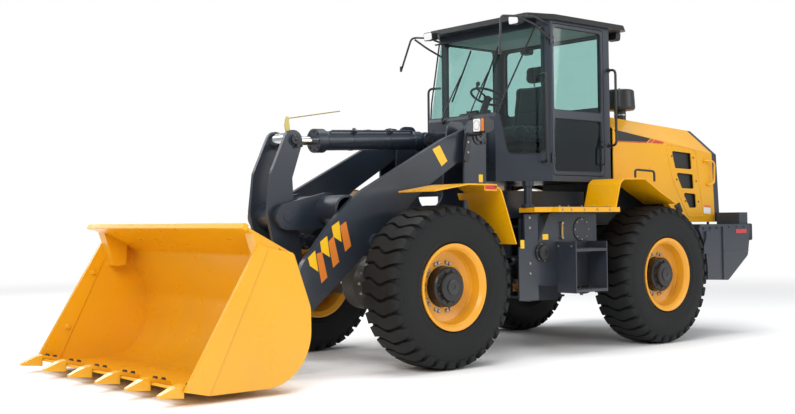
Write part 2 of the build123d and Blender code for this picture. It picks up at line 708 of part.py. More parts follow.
def wall(x0, x1, z0, z1, sign, inner, outer):
    """Block with x and z spans, on one side of the machine from y inner to outer."""
    box(x0, x1, sign * inner, sign * outer, z0, z1)


for hand, sign in SIDES.items():
    with BuildPart() as tower:
        slab(OUTER_TOWER, *hand_span(sign, TOWER_OUT - PLATE, TOWER_OUT))
        slab(LIFT_PLATE, *hand_span(sign, LIFT_PLATE_OUT - PLATE, LIFT_PLATE_OUT))
        wall(*SHELF, sign, TOWER_IN, TOWER_OUT)
        wall(SHELF[0], 800, *SHELF[2:], sign, LIFT_PLATE_OUT - PLATE, TOWER_OUT)
        wall(*TOWER_BACK, sign, TOWER_IN, TOWER_OUT)
        wall(*LIFT_FLOOR, sign, TOWER_IN, LIFT_PLATE_OUT)
        bar(*BOOM_FOOT, FOOT_PIN_R, *hand_span(sign, TOWER_IN, TOWER_OUT + 25))
        bar(*BOOM_FOOT, FOOT_PIN_R + 30, *hand_span(sign, TOWER_OUT, TOWER_OUT + 12))
        bar(*LIFT_BASE, PIN_R, *hand_span(sign, TOWER_IN, LIFT_PLATE_OUT + 10))
    save(tower, f"tower_{hand}")

with BuildPart() as front_frame:
    slabs(INNER_TOWER, TOWER_IN, TOWER_IN - PLATE)
    for x, z0, z1 in ((300, 525, 1130), (545, 1450, 2050), (1080, 620, 1180)):
        box(x, x + 25, -TOWER_IN + PLATE, TOWER_IN - PLATE, z0, z1)
    bars(STEER_EYE[0], STEER_Z, 115, TOWER_IN + 5, 230, Mode.SUBTRACT)
    for z in LUG_Z:
        with BuildSketch(level(z - LUG_T / 2)):
            Circle(100)
            with Locations((155, 0)):
                Rectangle(310, 200)
            Circle(LUG_PIN_R + RUN, mode=Mode.SUBTRACT)
        extrude(amount=LUG_T)
    for sign in SIDES.values():
        for z0 in (STEER_Z + 45, STEER_Z - 65):
            with BuildSketch(level(z0)):
                with Locations((STEER_EYE[0], sign * STEER_EYE[1])):
                    Circle(45)
                with Locations((STEER_EYE[0] + 70, sign * (STEER_EYE[1] - 8))):
                    Rectangle(140, 74)
            extrude(amount=20)
        slab(TILT_LUG, *hand_span(sign, *TILT_LUG_Y))
        bar(*TILT_BASE, PIN_R + RUN, *hand_span(sign, *TILT_LUG_Y), Mode.SUBTRACT)
    box(300, 1080, -TOWER_IN + PLATE, TOWER_IN - PLATE, 520, 545)
save(front_frame, "front_frame")

FRONT_FENDER = [
    (FRONT_X - 719, 1016), (FRONT_X - 540, 1480), (FRONT_X - 440, 1527), (FRONT_X - 150, 1527),
    (FRONT_X + 232, 1468),
]
with BuildPart() as front_fenders:
    for outer in (1150, -700):
        with BuildSketch(side(outer)):
            with BuildLine():
                path = FilletPolyline(*FRONT_FENDER, radius=70)
                offset(path, amount=12, side=Side.RIGHT)
            make_face()
        extrude(amount=450)
    slabs([(770, 1400, 0), (872, 1400, 0), (895, 1460, 0), (770, 1460, 0)], 700, TOWER_OUT)
save(front_fenders, "front_fenders")

LAMP = (782, 2057)  # x, z of the middle of a headlight
LAMP_Y = (745, 895)
ARM_FOOT = (785, 1775)
ARM_HEAD = (745, 1988)
with BuildPart() as headlights:
    for sign in SIDES.values():
        slab([
            (LAMP[0] - 62, LAMP[1] - 40, 30), (LAMP[0] + 10, LAMP[1] - 68, 30),
            (LAMP[0] + 55, LAMP[1] - 68, 12), (LAMP[0] + 55, LAMP[1] + 68, 12),
            (LAMP[0] + 10, LAMP[1] + 68, 30), (LAMP[0] - 62, LAMP[1] + 40, 30),
        ], *hand_span(sign, *LAMP_Y))
        links([(*ARM_FOOT, 32), (*ARM_HEAD, 26)], *hand_span(sign, TOWER_OUT, TOWER_OUT + 12))
        bar(*ARM_HEAD, 15, *hand_span(sign, TOWER_OUT, LAMP_Y[0] + 40))
        links(
            [(*ARM_HEAD, 15), (LAMP[0] - 30, LAMP[1] - 40, 15)],
            *hand_span(sign, LAMP_Y[0] + 10, LAMP_Y[0] + 40),
        )
save(headlights, "headlights")

# ---------------------------------------------------------------- boom and linkage
REACH = hypot(BOOM_REACH, BOOM_DROP)
ALONG = Vector(BOOM_REACH / REACH, -BOOM_DROP / REACH)


def on_boom(share, rise):
    """Point at a share of the way from foot pin to bucket pin, rise above that line."""
    spot = Vector(*BOOM_FOOT) + ALONG * (share * REACH) + Vector(-ALONG.Y, ALONG.X) * rise
    return spot.X, spot.Y


# arm outline: share of the way along the boom, rise, corner radius
ARM = [
    (0.00, 108, 60), (0.119, 205, 300), (0.474, 391, 500), (0.531, 407, 300), (0.634, 389, 400),
    (0.798, 300, 300), (0.901, 116, 200), (1.00, 88, 0), (1.00, -88, 0), (0.844, -59, 200),
    (0.271, -12, 300), (0.00, -100, 60),
]
LIFT_EYE = on_boom(0.5423, -36)
CRANK = on_boom(0.6857, 549)
CRANK_TOP = on_boom(0.5114, 991)
CRANK_FOOT = on_boom(0.8118, -147)
TUBE = on_boom(0.557, 343)
LINK_EYE = (BUCKET_PIN[0] - 45, BUCKET_PIN[1] + 256)
BUCKET_PIN_R = 40
CRANK_PIN_R = 45
with BuildPart() as boom:
    rows = [(*on_boom(share, rise), r) for share, rise, r in ARM]
    slabs(rows, ARM_Y + ARM_T / 2, ARM_Y - ARM_T / 2)
    for (x, z), r, hole, y_out, y_in in (
        (BOOM_FOOT, 112, FOOT_PIN_R, 570, 455), (BUCKET_PIN, 90, BUCKET_PIN_R, 560, 470),
    ):
        bars(x, z, r, y_out, y_in)
        bars(x, z, hole + RUN, y_out, y_in, Mode.SUBTRACT)
    bars(*LIFT_EYE, 75, 565, 475)
    bar(*TUBE, 125, ARM_Y - ARM_T / 2, -ARM_Y + ARM_T / 2)
    bar(*TUBE, 105, ARM_Y - ARM_T / 2, -ARM_Y + ARM_T / 2, Mode.SUBTRACT)
    for y in (220, -180):
        links([(*CRANK, 112), (*TUBE, 150)], y, y - 40)
    bar(*TUBE, 104, 400, -400, Mode.SUBTRACT)
    bar(*CRANK, CRANK_PIN_R, 225, -225)
save(boom, "boom")

# crank plate: place of each stretch's middle and its half depth
CRANK_STATIONS = [
    (CRANK_TOP[0] + 5, CRANK_TOP[1] - 6, 90), (CRANK[0] + 15, CRANK[1] + 337, 105),
    (CRANK[0] + 22, CRANK[1] + 37, 132),
    (CRANK[0] - 50, CRANK[1] - 263, 130), (*CRANK_FOOT, 80),
]
with BuildPart() as bellcrank:
    for y in (150, -115):
        links(CRANK_STATIONS, y, y - 35)
    bar(*CRANK, 100, 172, -172)
    bar(*CRANK, CRANK_PIN_R + RUN, 172, -172, Mode.SUBTRACT)
    bar(*CRANK_FOOT, PIN_R, 158, -158)
    for y in (162, -150):
        bar(*CRANK_TOP, 48, y, y - 12)
save(bellcrank, "bellcrank")

with BuildPart() as bucket_link:
    links([(*CRANK_FOOT, 70), (*LINK_EYE, 65)], 58, -58)
    bar(*CRANK_FOOT, 62, 108, -108)
    bar(*CRANK_FOOT, PIN_R + RUN, 110, -110, Mode.SUBTRACT)
save(bucket_link, "bucket_link")

# ---------------------------------------------------------------- bucket
# outline of the shell from the bucket pin: forward, up, corner radius
SHELL = [
    (1169, -205, 0), (1004, -245, 120), (150, -245, 380), (156, 300, 200), (304, 695, 60), (721, 905, 0),
]
# the same outline with its first and last edges run on ahead of the mouth
OPEN_SHELL = [(1499, -125, 0), *SHELL[1:-1], (1021, 1056, 0)]
SIDE_TRIM = [(1189, -205), (600, 768), (522, 740), (296, 696), (296, 1200), (1400, 1200)]
CUTTER = [(1185, -203, 0), (601, 769, 0), (524, 738, 0), (1000, -243, 0), (1168, -206, 0)]
LIP = [(683, 899, 4), (719, 917, 4), (739, 878, 4), (703, 860, 4)]
GUSSET = [(640, 846, 0), (423, 737, 0), (430, 560, 20), (540, 550, 20), (603, 735, 0)]
GUSSET_W = 105
PROUD = 7  # how far a cutter strip stands off its side plate, inside and out
SIDE_OUT = BUCKET_W / 2 - PROUD
EAR = [
    (-60, -72, 60), (-90, 60, 60), (60, 92, 60), (182, 560, 0), (240, 560, 0), (178, 200, 0), (215, -60, 0),
    (330, -190, 0),
]
EAR_Y = ((462, 440), (590, 568))
LINK_LUG_Y = (70, 98)


def from_pin(rows):
    """Rows measured from the bucket pin, as rows from the centre pin."""
    return [(BUCKET_PIN[0] + row[0], BUCKET_PIN[1] + row[1], *(row[2:] or (0,))) for row in rows]


with BuildPart() as bucket:
    slab(from_pin(SHELL), SIDE_OUT, -SIDE_OUT)
    for y_out, y_in in EAR_Y:
        slabs(from_pin(EAR), y_out, y_in)
        bars(*BUCKET_PIN, 92, y_out, y_in)
    bars(*BUCKET_PIN, BUCKET_PIN_R, EAR_Y[1][0] + 10, EAR_Y[0][1] - 5)
    for a, b in ((130, 190), (190, 440)):
        y_in, y_out = LINK_LUG_Y
        links([(*LINK_EYE, 72), (BUCKET_PIN[0] + a, BUCKET_PIN[1] + b, 40)], y_out, y_in)
        links([(*LINK_EYE, 72), (BUCKET_PIN[0] + a, BUCKET_PIN[1] + b, 40)], -y_in, -y_out)
    with BuildSketch(side(SIDE_OUT - SIDE_SHEET)) as cavity:
        trace(from_pin(OPEN_SHELL))
        offset(amount=-SHEET)
    extrude(cavity.sketch, amount=2 * (SIDE_OUT - SIDE_SHEET), mode=Mode.SUBTRACT)
    slabs(from_pin(SIDE_TRIM), BUCKET_W / 2 + 10, SIDE_OUT - SIDE_SHEET, Mode.SUBTRACT)
    slabs(from_pin(CUTTER), BUCKET_W / 2, SIDE_OUT - SIDE_SHEET - PROUD)
    slabs(from_pin(GUSSET), SIDE_OUT - SIDE_SHEET + 5, SIDE_OUT - SIDE_SHEET - GUSSET_W)
    slab(from_pin(LIP), SIDE_OUT, -SIDE_OUT)
save(bucket, "bucket")

TEETH = 6
TOOTH_HALF = 45
# side of a tooth from the bucket pin: a plate on the cutting edge, then a nose ahead of it
TOOTH = [
    (1010, -222, 0), (1172, -182, 0), (1172, -246, 0), (REACH_FRONT - BUCKET_PIN[0], -232, 4),
    (REACH_FRONT - BUCKET_PIN[0], -216, 4), (1225, -166, 20), (1165, -156, 20), (1020, -192, 8),
]
with BuildPart(mode=Mode.PRIVATE) as tooth:
    slab(from_pin(TOOTH), TOOTH_HALF, -TOOTH_HALF)
    deck([
        (BUCKET_PIN[0] + 1000, TOOTH_HALF, 0), (BUCKET_PIN[0] + 1000, -TOOTH_HALF, 0),
        (BUCKET_PIN[0] + 1190, -TOOTH_HALF, 0), (REACH_FRONT, -TOOTH_HALF / 2, 0),
        (REACH_FRONT, TOOTH_HALF / 2, 0), (BUCKET_PIN[0] + 1190, TOOTH_HALF, 0),
    ], BUCKET_PIN[1], BUCKET_PIN[1], Mode.INTERSECT)
TOOTH_Y = SIDE_OUT - SIDE_SHEET - PROUD - TOOTH_HALF - 5  # middle of the outermost teeth
TOOTH_PITCH = 2 * TOOTH_Y / (TEETH - 1)
with BuildPart() as bucket_teeth:
    with Locations(*[(0, (i - (TEETH - 1) / 2) * TOOTH_PITCH, 0) for i in range(TEETH)]):
        add(tooth.part)
save(bucket_teeth, "bucket_teeth")

# ---------------------------------------------------------------- cylinders
def along(start, end):
    """Plane at start that faces end; both are (x, y, z), x from the centre pin."""
    origin = Vector(HINGE_X + start[0], start[1], start[2])
    target = Vector(HINGE_X + end[0], end[1], end[2])
    return Plane(origin=origin, z_dir=target - origin)


def rod_run(plane, r, begin, length, mode=Mode.ADD):
    """Round bar of radius r on the plane's normal, from begin on for length."""
    with BuildSketch(plane.offset(begin)) as sketch:
        Circle(r)
    extrude(sketch.sketch, amount=length, mode=mode)


def distance(a, b):
    return hypot(a[0] - b[0], a[1] - b[1])


LIFT_BARREL = 1250
LIFT_ROD = 1240
for hand, sign in SIDES.items():
    y = sign * LIFT_Y
    base = (LIFT_BASE[0], y, LIFT_BASE[1])
    eye = (LIFT_EYE[0], y, LIFT_EYE[1])
    axis = along(base, eye)
    span = distance(LIFT_BASE, LIFT_EYE)
    with BuildPart() as barrel:
        bar(*LIFT_BASE, 62, y + LIFT_HALF, y - LIFT_HALF)
        rod_run(axis, 60, 45, LIFT_BARREL - 45)
        bar(*LIFT_BASE, PIN_R + RUN, y + 70, y - 70, Mode.SUBTRACT)
        rod_run(axis, 50, 80, LIFT_BARREL - 120, Mode.SUBTRACT)
        rod_run(axis, 35 + RUN, LIFT_BARREL - 50, 60, Mode.SUBTRACT)
    save(barrel, f"lift_barrel_{hand}")
    with BuildPart() as rod:
        bar(*LIFT_EYE, 60, y + 38, y - 38)
        rod_run(axis, 35, span - LIFT_ROD, LIFT_ROD)
    save(rod, f"lift_rod_{hand}")

STEER_BARREL = 600
STEER_ROD = 610
for hand, sign in SIDES.items():
    base = (STEER_BASE[0], sign * STEER_BASE[1], STEER_Z)
    eye = (STEER_EYE[0], sign * STEER_EYE[1], STEER_Z)
    axis = along(base, eye)
    span = distance(STEER_BASE, STEER_EYE)
    with BuildPart() as barrel:
        with BuildSketch(level(STEER_Z - 40)):
            with Locations(base[:2]):
                Circle(42)
        extrude(amount=80)
        rod_run(axis, 45, 30, STEER_BARREL - 30)
        with BuildSketch(level(STEER_Z - 60)):
            with Locations(base[:2]):
                Circle(25 + RUN)
        extrude(amount=120, mode=Mode.SUBTRACT)
        rod_run(axis, 37, 60, STEER_BARREL - 90, Mode.SUBTRACT)
        rod_run(axis, 25 + RUN, STEER_BARREL - 40, 60, Mode.SUBTRACT)
    save(barrel, f"steering_barrel_{hand}")
    with BuildPart() as rod:
        with BuildSketch(level(STEER_Z - 38)):
            with Locations(eye[:2]):
                Circle(40)
        extrude(amount=76)
        rod_run(axis, 25, span - STEER_ROD, STEER_ROD)
    save(rod, f"steering_rod_{hand}")

TILT_BARREL = 1250
TILT_ROD = 1245
base = (TILT_BASE[0], 0, TILT_BASE[1])
eye = (CRANK_TOP[0], 0, CRANK_TOP[1])
axis = along(base, eye)
span = distance(TILT_BASE, CRANK_TOP)
with BuildPart() as tilt_barrel:
    bar(*TILT_BASE, 75, 62, -62)
    rod_run(axis, 85, 40, TILT_BARREL - 90)
    rod_run(axis, 105, TILT_BARREL - 90, 90)
    bar(*TILT_BASE, PIN_R + RUN, 100, -100, Mode.SUBTRACT)
    rod_run(axis, 70, 90, TILT_BARREL - 180, Mode.SUBTRACT)
    rod_run(axis, 38 + RUN, TILT_BARREL - 100, 110, Mode.SUBTRACT)
save(tilt_barrel, "tilt_barrel")
with BuildPart() as tilt_rod:
    bar(*CRANK_TOP, 68, 105, -105)
    rod_run(axis, 38, span - TILT_ROD, TILT_ROD)
save(tilt_rod, "tilt_rod")
with BuildPart() as tilt_pin:
    bar(*TILT_BASE, PIN_R, 130, -130)
save(tilt_pin, "tilt_pin")
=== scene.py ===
"""Wheel loader: finishes, tyres, fasteners, pipes, lamps and trim around the machine's steel frame."""
import json
import math

import bmesh
import bpy
from mathutils import Matrix, Vector


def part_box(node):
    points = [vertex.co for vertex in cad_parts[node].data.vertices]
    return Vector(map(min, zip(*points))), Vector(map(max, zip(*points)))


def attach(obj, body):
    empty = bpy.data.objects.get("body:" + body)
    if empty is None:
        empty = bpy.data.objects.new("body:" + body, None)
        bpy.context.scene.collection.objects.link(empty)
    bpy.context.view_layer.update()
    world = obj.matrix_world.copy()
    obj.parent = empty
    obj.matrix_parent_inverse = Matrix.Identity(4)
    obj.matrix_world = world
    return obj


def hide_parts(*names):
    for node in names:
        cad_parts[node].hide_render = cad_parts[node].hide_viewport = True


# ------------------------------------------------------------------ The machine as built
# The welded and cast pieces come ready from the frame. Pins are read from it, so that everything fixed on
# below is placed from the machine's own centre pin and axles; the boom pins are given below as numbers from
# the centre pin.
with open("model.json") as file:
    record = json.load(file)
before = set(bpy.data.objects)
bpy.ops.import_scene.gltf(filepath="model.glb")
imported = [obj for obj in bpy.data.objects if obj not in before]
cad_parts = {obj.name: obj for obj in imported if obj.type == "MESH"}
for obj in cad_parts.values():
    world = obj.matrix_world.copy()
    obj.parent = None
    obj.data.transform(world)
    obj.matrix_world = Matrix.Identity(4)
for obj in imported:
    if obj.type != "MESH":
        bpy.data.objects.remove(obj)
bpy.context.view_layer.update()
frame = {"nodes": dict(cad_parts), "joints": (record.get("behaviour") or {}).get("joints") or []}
nodes = frame["nodes"]
pins = {joint["name"]: Vector(joint["pos_m"]) for joint in frame["joints"] if joint.get("pos_m")}
CENTRE = pins["articulation"].x
SIDES = {"left": 1, "right": -1}


def at(x, y, z):
    """Point given from the centre pin: forward, left and up from the floor."""
    return Vector((CENTRE + x, y, z))


# ------------------------------------------------------------------ Studio
# A pale painted floor that fades into a white room, lit by large soft boxes from the front left,
# the rear left, the right and above, with the camera low on the driver's left, ahead of the bucket.
def linear(code, alpha=1.0):
    """sRGB hex colour as linear red, green, blue and alpha."""
    parts = [int(code[i:i + 2], 16) / 255 for i in (1, 3, 5)]
    parts = [c / 12.92 if c <= 0.04045 else ((c + 0.055) / 1.055) ** 2.4 for c in parts]
    return (*parts, alpha)


def add_node(tree, kind, inputs=None, **settings):
    """One node with its settings; inputs maps a socket to a value or to another node's output."""
    item = tree.nodes.new(kind)
    for name, value in settings.items():
        setattr(item, name, value)
    for socket, value in (inputs or {}).items():
        if isinstance(value, bpy.types.NodeSocket):
            tree.links.new(value, item.inputs[socket])
        else:
            item.inputs[socket].default_value = value
    return item


def new_tree(name):
    """An empty material and its node tree."""
    material = bpy.data.materials.new(name)
    material.use_nodes = True
    material.node_tree.nodes.clear()
    return material, material.node_tree


def noise(tree, scale, detail):
    """Noise over the object, its clouds about 1 / scale metres wide."""
    place = add_node(tree, "ShaderNodeTexCoord").outputs["Object"]
    cloud = add_node(tree, "ShaderNodeTexNoise", {"Vector": place, "Scale": scale, "Detail": detail})
    return cloud.outputs["Fac"]


def spread(tree, value, low, high, start=0.0, end=1.0):
    """Value between start and end taken to between low and high."""
    row = add_node(tree, "ShaderNodeMapRange", {"Value": value, 1: start, 2: end, 3: low, 4: high})
    return row.outputs[0]


def between(tree, share, first, second):
    """Colour between two, each a hex code or another node's output."""
    ends = [linear(end) if isinstance(end, str) else end for end in (first, second)]
    return add_node(tree, "ShaderNodeMix", {0: share, 6: ends[0], 7: ends[1]}, data_type="RGBA").outputs[2]


def shaded(tree, value, code):
    """Colour made darker or lighter by a value."""
    return add_node(tree, "ShaderNodeHueSaturation", {"Value": value, "Color": linear(code)}).outputs[0]


def relief(tree, height, strength, distance, corner=0.0):
    """Normal raised by a height, over corners rounded by a radius."""
    inputs = {"Strength": strength, "Distance": distance, "Height": height}
    if corner:
        inputs["Normal"] = add_node(tree, "ShaderNodeBevel", {"Radius": corner}, samples=4).outputs[0]
    return add_node(tree, "ShaderNodeBump", inputs).outputs[0]


def surfaced(tree, colour, rough, inputs=None):
    """Principled surface on the material's output."""
    skin = add_node(
        tree, "ShaderNodeBsdfPrincipled", {"Base Color": colour, "Roughness": rough, **(inputs or {})},
    )
    add_node(tree, "ShaderNodeOutputMaterial", {"Surface": skin.outputs[0]})


bpy.context.scene.view_settings.view_transform = "Standard"
EYE = at(7.725, 7.823, 1.218)
HEADING = math.radians(-130.35)
PITCH = math.radians(2.77)
ROLL = math.radians(-0.453)
camera_data = bpy.data.cameras.new("camera")
camera_data.sensor_width = 36
camera_data.lens = 50.61
camera_data.shift_y = -0.0501
camera_data.clip_end = 400
camera = bpy.data.objects.new("camera", camera_data)
ahead = Vector((math.cos(PITCH) * math.cos(HEADING), math.cos(PITCH) * math.sin(HEADING), math.sin(PITCH)))
level_right = ahead.cross(Vector((0, 0, 1))).normalized()
level_up = level_right.cross(ahead)
right = level_right * math.cos(ROLL) + level_up * math.sin(ROLL)
up = level_up * math.cos(ROLL) - level_right * math.sin(ROLL)
camera.matrix_world = Matrix((
    (right.x, up.x, -ahead.x, EYE.x),
    (right.y, up.y, -ahead.y, EYE.y),
    (right.z, up.z, -ahead.z, EYE.z),
    (0, 0, 0, 1),
))
bpy.context.scene.collection.objects.link(camera)
bpy.context.scene.camera = camera

world = bpy.data.worlds.new("room")
world.use_nodes = True
world.node_tree.nodes.clear()
room = world.node_tree
rays = add_node(room, "ShaderNodeLightPath")
seen = add_node(
    room, "ShaderNodeMath", {0: rays.outputs["Is Camera Ray"], 1: rays.outputs["Is Transmission Ray"]},
    operation="MAXIMUM",
)
dim = add_node(room, "ShaderNodeBackground", {"Color": linear("#F4F6F8"), "Strength": 0.55})
bright = add_node(room, "ShaderNodeBackground", {"Color": (1, 1, 1, 1), "Strength": 1.0})
mixed = add_node(room, "ShaderNodeMixShader", {0: seen.outputs[0], 1: dim.outputs[0], 2: bright.outputs[0]})
add_node(room, "ShaderNodeOutputWorld", {"Surface": mixed.outputs[0]})
bpy.context.scene.world = world

# the floor turns into plain white light between two distances from the machine
FADE_NEAR = 7.0
FADE_FAR = 16.0
floor_material, tree = new_tree("painted_floor")
spot = add_node(tree, "ShaderNodeTexCoord")
reach = add_node(tree, "ShaderNodeVectorMath", {0: spot.outputs["Object"]}, operation="LENGTH")
fade = add_node(
    tree, "ShaderNodeMapRange", {
        "Value": reach.outputs["Value"], 1: FADE_NEAR, 2: FADE_FAR, 3: 0.0, 4: 1.0,
    },
    interpolation_type="SMOOTHSTEP",
)
paint = add_node(tree, "ShaderNodeBsdfPrincipled", {"Base Color": linear("#FAFAFA"), "Roughness": 0.8})
white = add_node(tree, "ShaderNodeEmission", {"Color": (1, 1, 1, 1), "Strength": 1.0})
ground = add_node(
    tree, "ShaderNodeMixShader", {0: fade.outputs[0], 1: paint.outputs[0], 2: white.outputs[0]},
)
add_node(tree, "ShaderNodeOutputMaterial", {"Surface": ground.outputs[0]})
FLOOR_HALF = 60
floor_mesh = bpy.data.meshes.new("floor")
floor_mesh.from_pydata(
    [(a * FLOOR_HALF, b * FLOOR_HALF, 0) for a, b in ((-1, -1), (1, -1), (1, 1), (-1, 1))],
    [], [(0, 1, 2, 3)],
)
floor = bpy.data.objects.new("floor", floor_mesh)
floor_mesh.materials.append(floor_material)
bpy.context.scene.collection.objects.link(floor)

# name, place, point that it faces, width, height, watts
SOFT_BOXES = [
    ("key", (9.0, 6.0, 7.0), (0, 0, 1.2), 6, 5, 700),
    ("fill", (-6.0, 9.0, 5.0), (0, 0, 1.2), 6, 5, 260),
    ("top", (0.0, 0.0, 11.0), (0, 0, 0), 9, 6, 850),
    ("far", (2.0, -10.0, 6.0), (0, 0, 1.2), 7, 4, 420),
]
for name, place, target, width, height, watts in SOFT_BOXES:
    data = bpy.data.lights.new(name, "AREA")
    data.shape = "RECTANGLE"
    data.size, data.size_y, data.energy = width, height, watts
    lamp = bpy.data.objects.new(name, data)
    lamp.location = place
    lamp.rotation_euler = (Vector(target) - Vector(place)).to_track_quat("-Z", "Y").to_euler()
    bpy.context.scene.collection.objects.link(lamp)

# ------------------------------------------------------------------ Enamel on the steelwork
# Two-coat polyurethane enamel sprayed on blasted plate: an even gloss with faint orange peel, a
# slow drift in tone from panel to panel, a little dust low down, and softened corners.
def sprayed_enamel(name, code, gloss=0.3, coat=0.2, peel=0.25, corner=0.004, dust=0.12):
    """Sprayed enamel: orange peel 8 mm wide, drawn coarser than the real 2 mm so that it shows."""
    material, tree = new_tree(name)
    tone = spread(tree, noise(tree, 0.9, 3.0), 0.93, 1.05, 0.3, 0.7)
    place = add_node(tree, "ShaderNodeTexCoord").outputs["Object"]
    height = add_node(tree, "ShaderNodeSeparateXYZ", {0: place}).outputs["Z"]
    low = spread(tree, height, 0.0, dust, 1.3, 0.1)
    cloud = noise(tree, 5.0, 6.0)
    film = add_node(tree, "ShaderNodeMath", {0: low, 1: cloud}, operation="MULTIPLY").outputs[0]
    surfaced(tree, between(tree, film, shaded(tree, tone, code), "#A89C8A"),
             spread(tree, cloud, gloss - 0.05, gloss + 0.08, 0.3, 0.7), {
        "Normal": relief(tree, noise(tree, 120.0, 1.0), peel, 0.0004, corner),
        "Coat Weight": coat, "Coat Roughness": 0.08,
    })
    return material


def dress(material, *names):
    """Give frame pieces their finish."""
    for name in names:
        for slot in nodes[name].material_slots:
            slot.material = material


chrome_yellow = sprayed_enamel("chrome_yellow_enamel", "#E7A604")
slate_navy = sprayed_enamel("slate_navy_enamel", "#262E39", gloss=0.34, coat=0.12)
satin_black = sprayed_enamel("satin_black_enamel", "#191B1E", gloss=0.42, coat=0.1, peel=0.4)
cast_black = sprayed_enamel("casting_black_enamel", "#17191B", gloss=0.5, coat=0.05, peel=1.0, dust=0.3)
dress(
    chrome_yellow, "engine_hood", "bucket", "bucket_teeth", "front_fenders", "platform_left",
    "platform_right",
)
dress(slate_navy, "rear_frame", "counterweight", "fuel_tank", "hydraulic_tank", "cab_frame", "door_left",
      "door_right", "front_frame", "tower_left", "tower_right", "boom", "bellcrank", "bucket_link",
      "rear_grille", "ladders", "cab_base", "tilt_barrel", "lift_barrel_left", "lift_barrel_right",
      "steering_barrel_left", "steering_barrel_right")
dress(satin_black, "cab_roof", "headlights", "rear_lamps", "steering_column", "precleaner")
dress(cast_black, "front_axle", "rear_axle", "engine_block")

# ------------------------------------------------------------------ Tyres
# Bias-ply earthmover tyres, 1.35 m across: black rubber cured in a mould, with 33 deep zigzag lugs
# that run over both shoulders, and ribbed plain sidewalls that sit behind the rim flanges.
def facing(spot, normal, up=(0, 0, 1)):
    """Matrix at a spot, its z axis along the normal and its y axis towards up."""
    z = Vector(normal).normalized()
    x = Vector(up).cross(z)
    if x.length < 0.001:
        x = Vector((1, 0, 0))
    x.normalize()
    return Matrix.Translation(spot) @ Matrix((x, z.cross(x), z)).transposed().to_4x4()


def turned(bm, matrix, rows, sides=24):
    """Form turned about the matrix's z axis from rows of (radius, height)."""
    rings = []
    for radius, height in rows:
        count = sides if radius else 1
        turns = [2 * math.pi * i / sides for i in range(count)]
        rings.append([
            bm.verts.new(matrix @ Vector((radius * math.cos(a), radius * math.sin(a), height))) for a in turns
        ])
    for low, high in zip(rings, rings[1:]):
        for i in range(sides):
            ring = (
                low[i % len(low)], low[(i + 1) % len(low)], high[(i + 1) % len(high)], high[i % len(high)],
            )
            corners = list(dict.fromkeys(ring))
            if len(corners) > 2:
                bm.faces.new(corners)


def round_corners(piece, width, crease):
    """Bevel on every edge sharper than the crease."""
    rounding = piece.modifiers.new("corners", "BEVEL")
    rounding.width, rounding.segments, rounding.limit_method = width, 2, "ANGLE"
    rounding.angle_limit = math.radians(crease)
    return rounding


def settle(name, bm, material, body, corner=0.0, crease=35):
    """Object from a bmesh: shaded, its corners rounded, with a finish, riding on a body."""
    bmesh.ops.recalc_face_normals(bm, faces=bm.faces)
    mesh = bpy.data.meshes.new(name)
    bm.to_mesh(mesh)
    bm.free()
    mesh.shade_smooth()
    mesh.set_sharp_from_angle(angle=math.radians(crease))
    mesh.materials.append(material)
    piece = bpy.data.objects.new(name, mesh)
    bpy.context.scene.collection.objects.link(piece)
    if corner:
        round_corners(piece, corner, crease).harden_normals = True
    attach(piece, body)
    return piece


def cured_rubber():
    """Rubber with a grey bloom in patches 60 mm wide and a fine moulded skin."""
    material, tree = new_tree("cured_rubber")
    bloom = noise(tree, 16.0, 5.0)
    surfaced(tree, between(tree, bloom, "#0C0D0E", "#1C1D1E"), spread(tree, bloom, 0.55, 0.78), {
        "Normal": relief(tree, noise(tree, 260.0, 2.0), 0.35, 0.0006, 0.003), "Specular IOR Level": 0.3,
    })
    return material


rubber = cured_rubber()
TYRE_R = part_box("tyre_front_left")[1].z / 2
LUGS = 33
# half section of the casing: distance from the middle plane, radius
CASING = [
    (0.0, 0.647), (0.10, 0.645), (0.165, 0.637), (0.190, 0.624), (0.203, 0.603), (0.2105, 0.578),
    (0.2125, 0.566), (0.2165, 0.563), (0.2175, 0.556), (0.2175, 0.548), (0.2205, 0.540), (0.2215, 0.505),
    (0.2205, 0.472), (0.2165, 0.436), (0.2150, 0.424), (0.2175, 0.419), (0.2170, 0.410), (0.2120, 0.404),
    (0.2050, 0.384), (0.1960, 0.368), (0.1880, 0.362), (0.1700, 0.345),
]
# one lug across the tyre: distance from the middle plane, top radius, root radius, half length
# round the tyre, lead round the tyre
LUG = [
    (-0.2150, 0.604, 0.580, 0.028, 0.004), (-0.2120, 0.632, 0.600, 0.034, 0.004),
    (-0.2010, 0.652, 0.620, 0.041, 0.005), (-0.1830, 0.664, 0.630, 0.048, 0.008),
    (-0.1450, 0.671, 0.638, 0.050, 0.020), (-0.1000, 0.675, 0.642, 0.050, 0.028),
    (-0.0550, 0.675, 0.643, 0.050, 0.018), (-0.0100, 0.675, 0.643, 0.050, -0.008),
    (0.0350, 0.675, 0.643, 0.050, -0.024), (0.0750, 0.675, 0.643, 0.050, -0.018),
    (0.1150, 0.675, 0.642, 0.050, -0.004), (0.1500, 0.671, 0.638, 0.050, 0.008),
    (0.1830, 0.664, 0.630, 0.048, 0.014), (0.2010, 0.652, 0.620, 0.041, 0.014),
    (0.2120, 0.632, 0.600, 0.034, 0.012), (0.2150, 0.604, 0.580, 0.028, 0.012),
]
ROOT_DRAFT = 0.006
LUG_CORNER = 0.003
LUG_CREASE = 28
casing = bmesh.new()
turned(
    casing, facing((0, 0, 0), (0, 1, 0)),
    [(r, -w) for w, r in reversed(CASING)] + [(r, w) for w, r in CASING[1:]], 132,
)
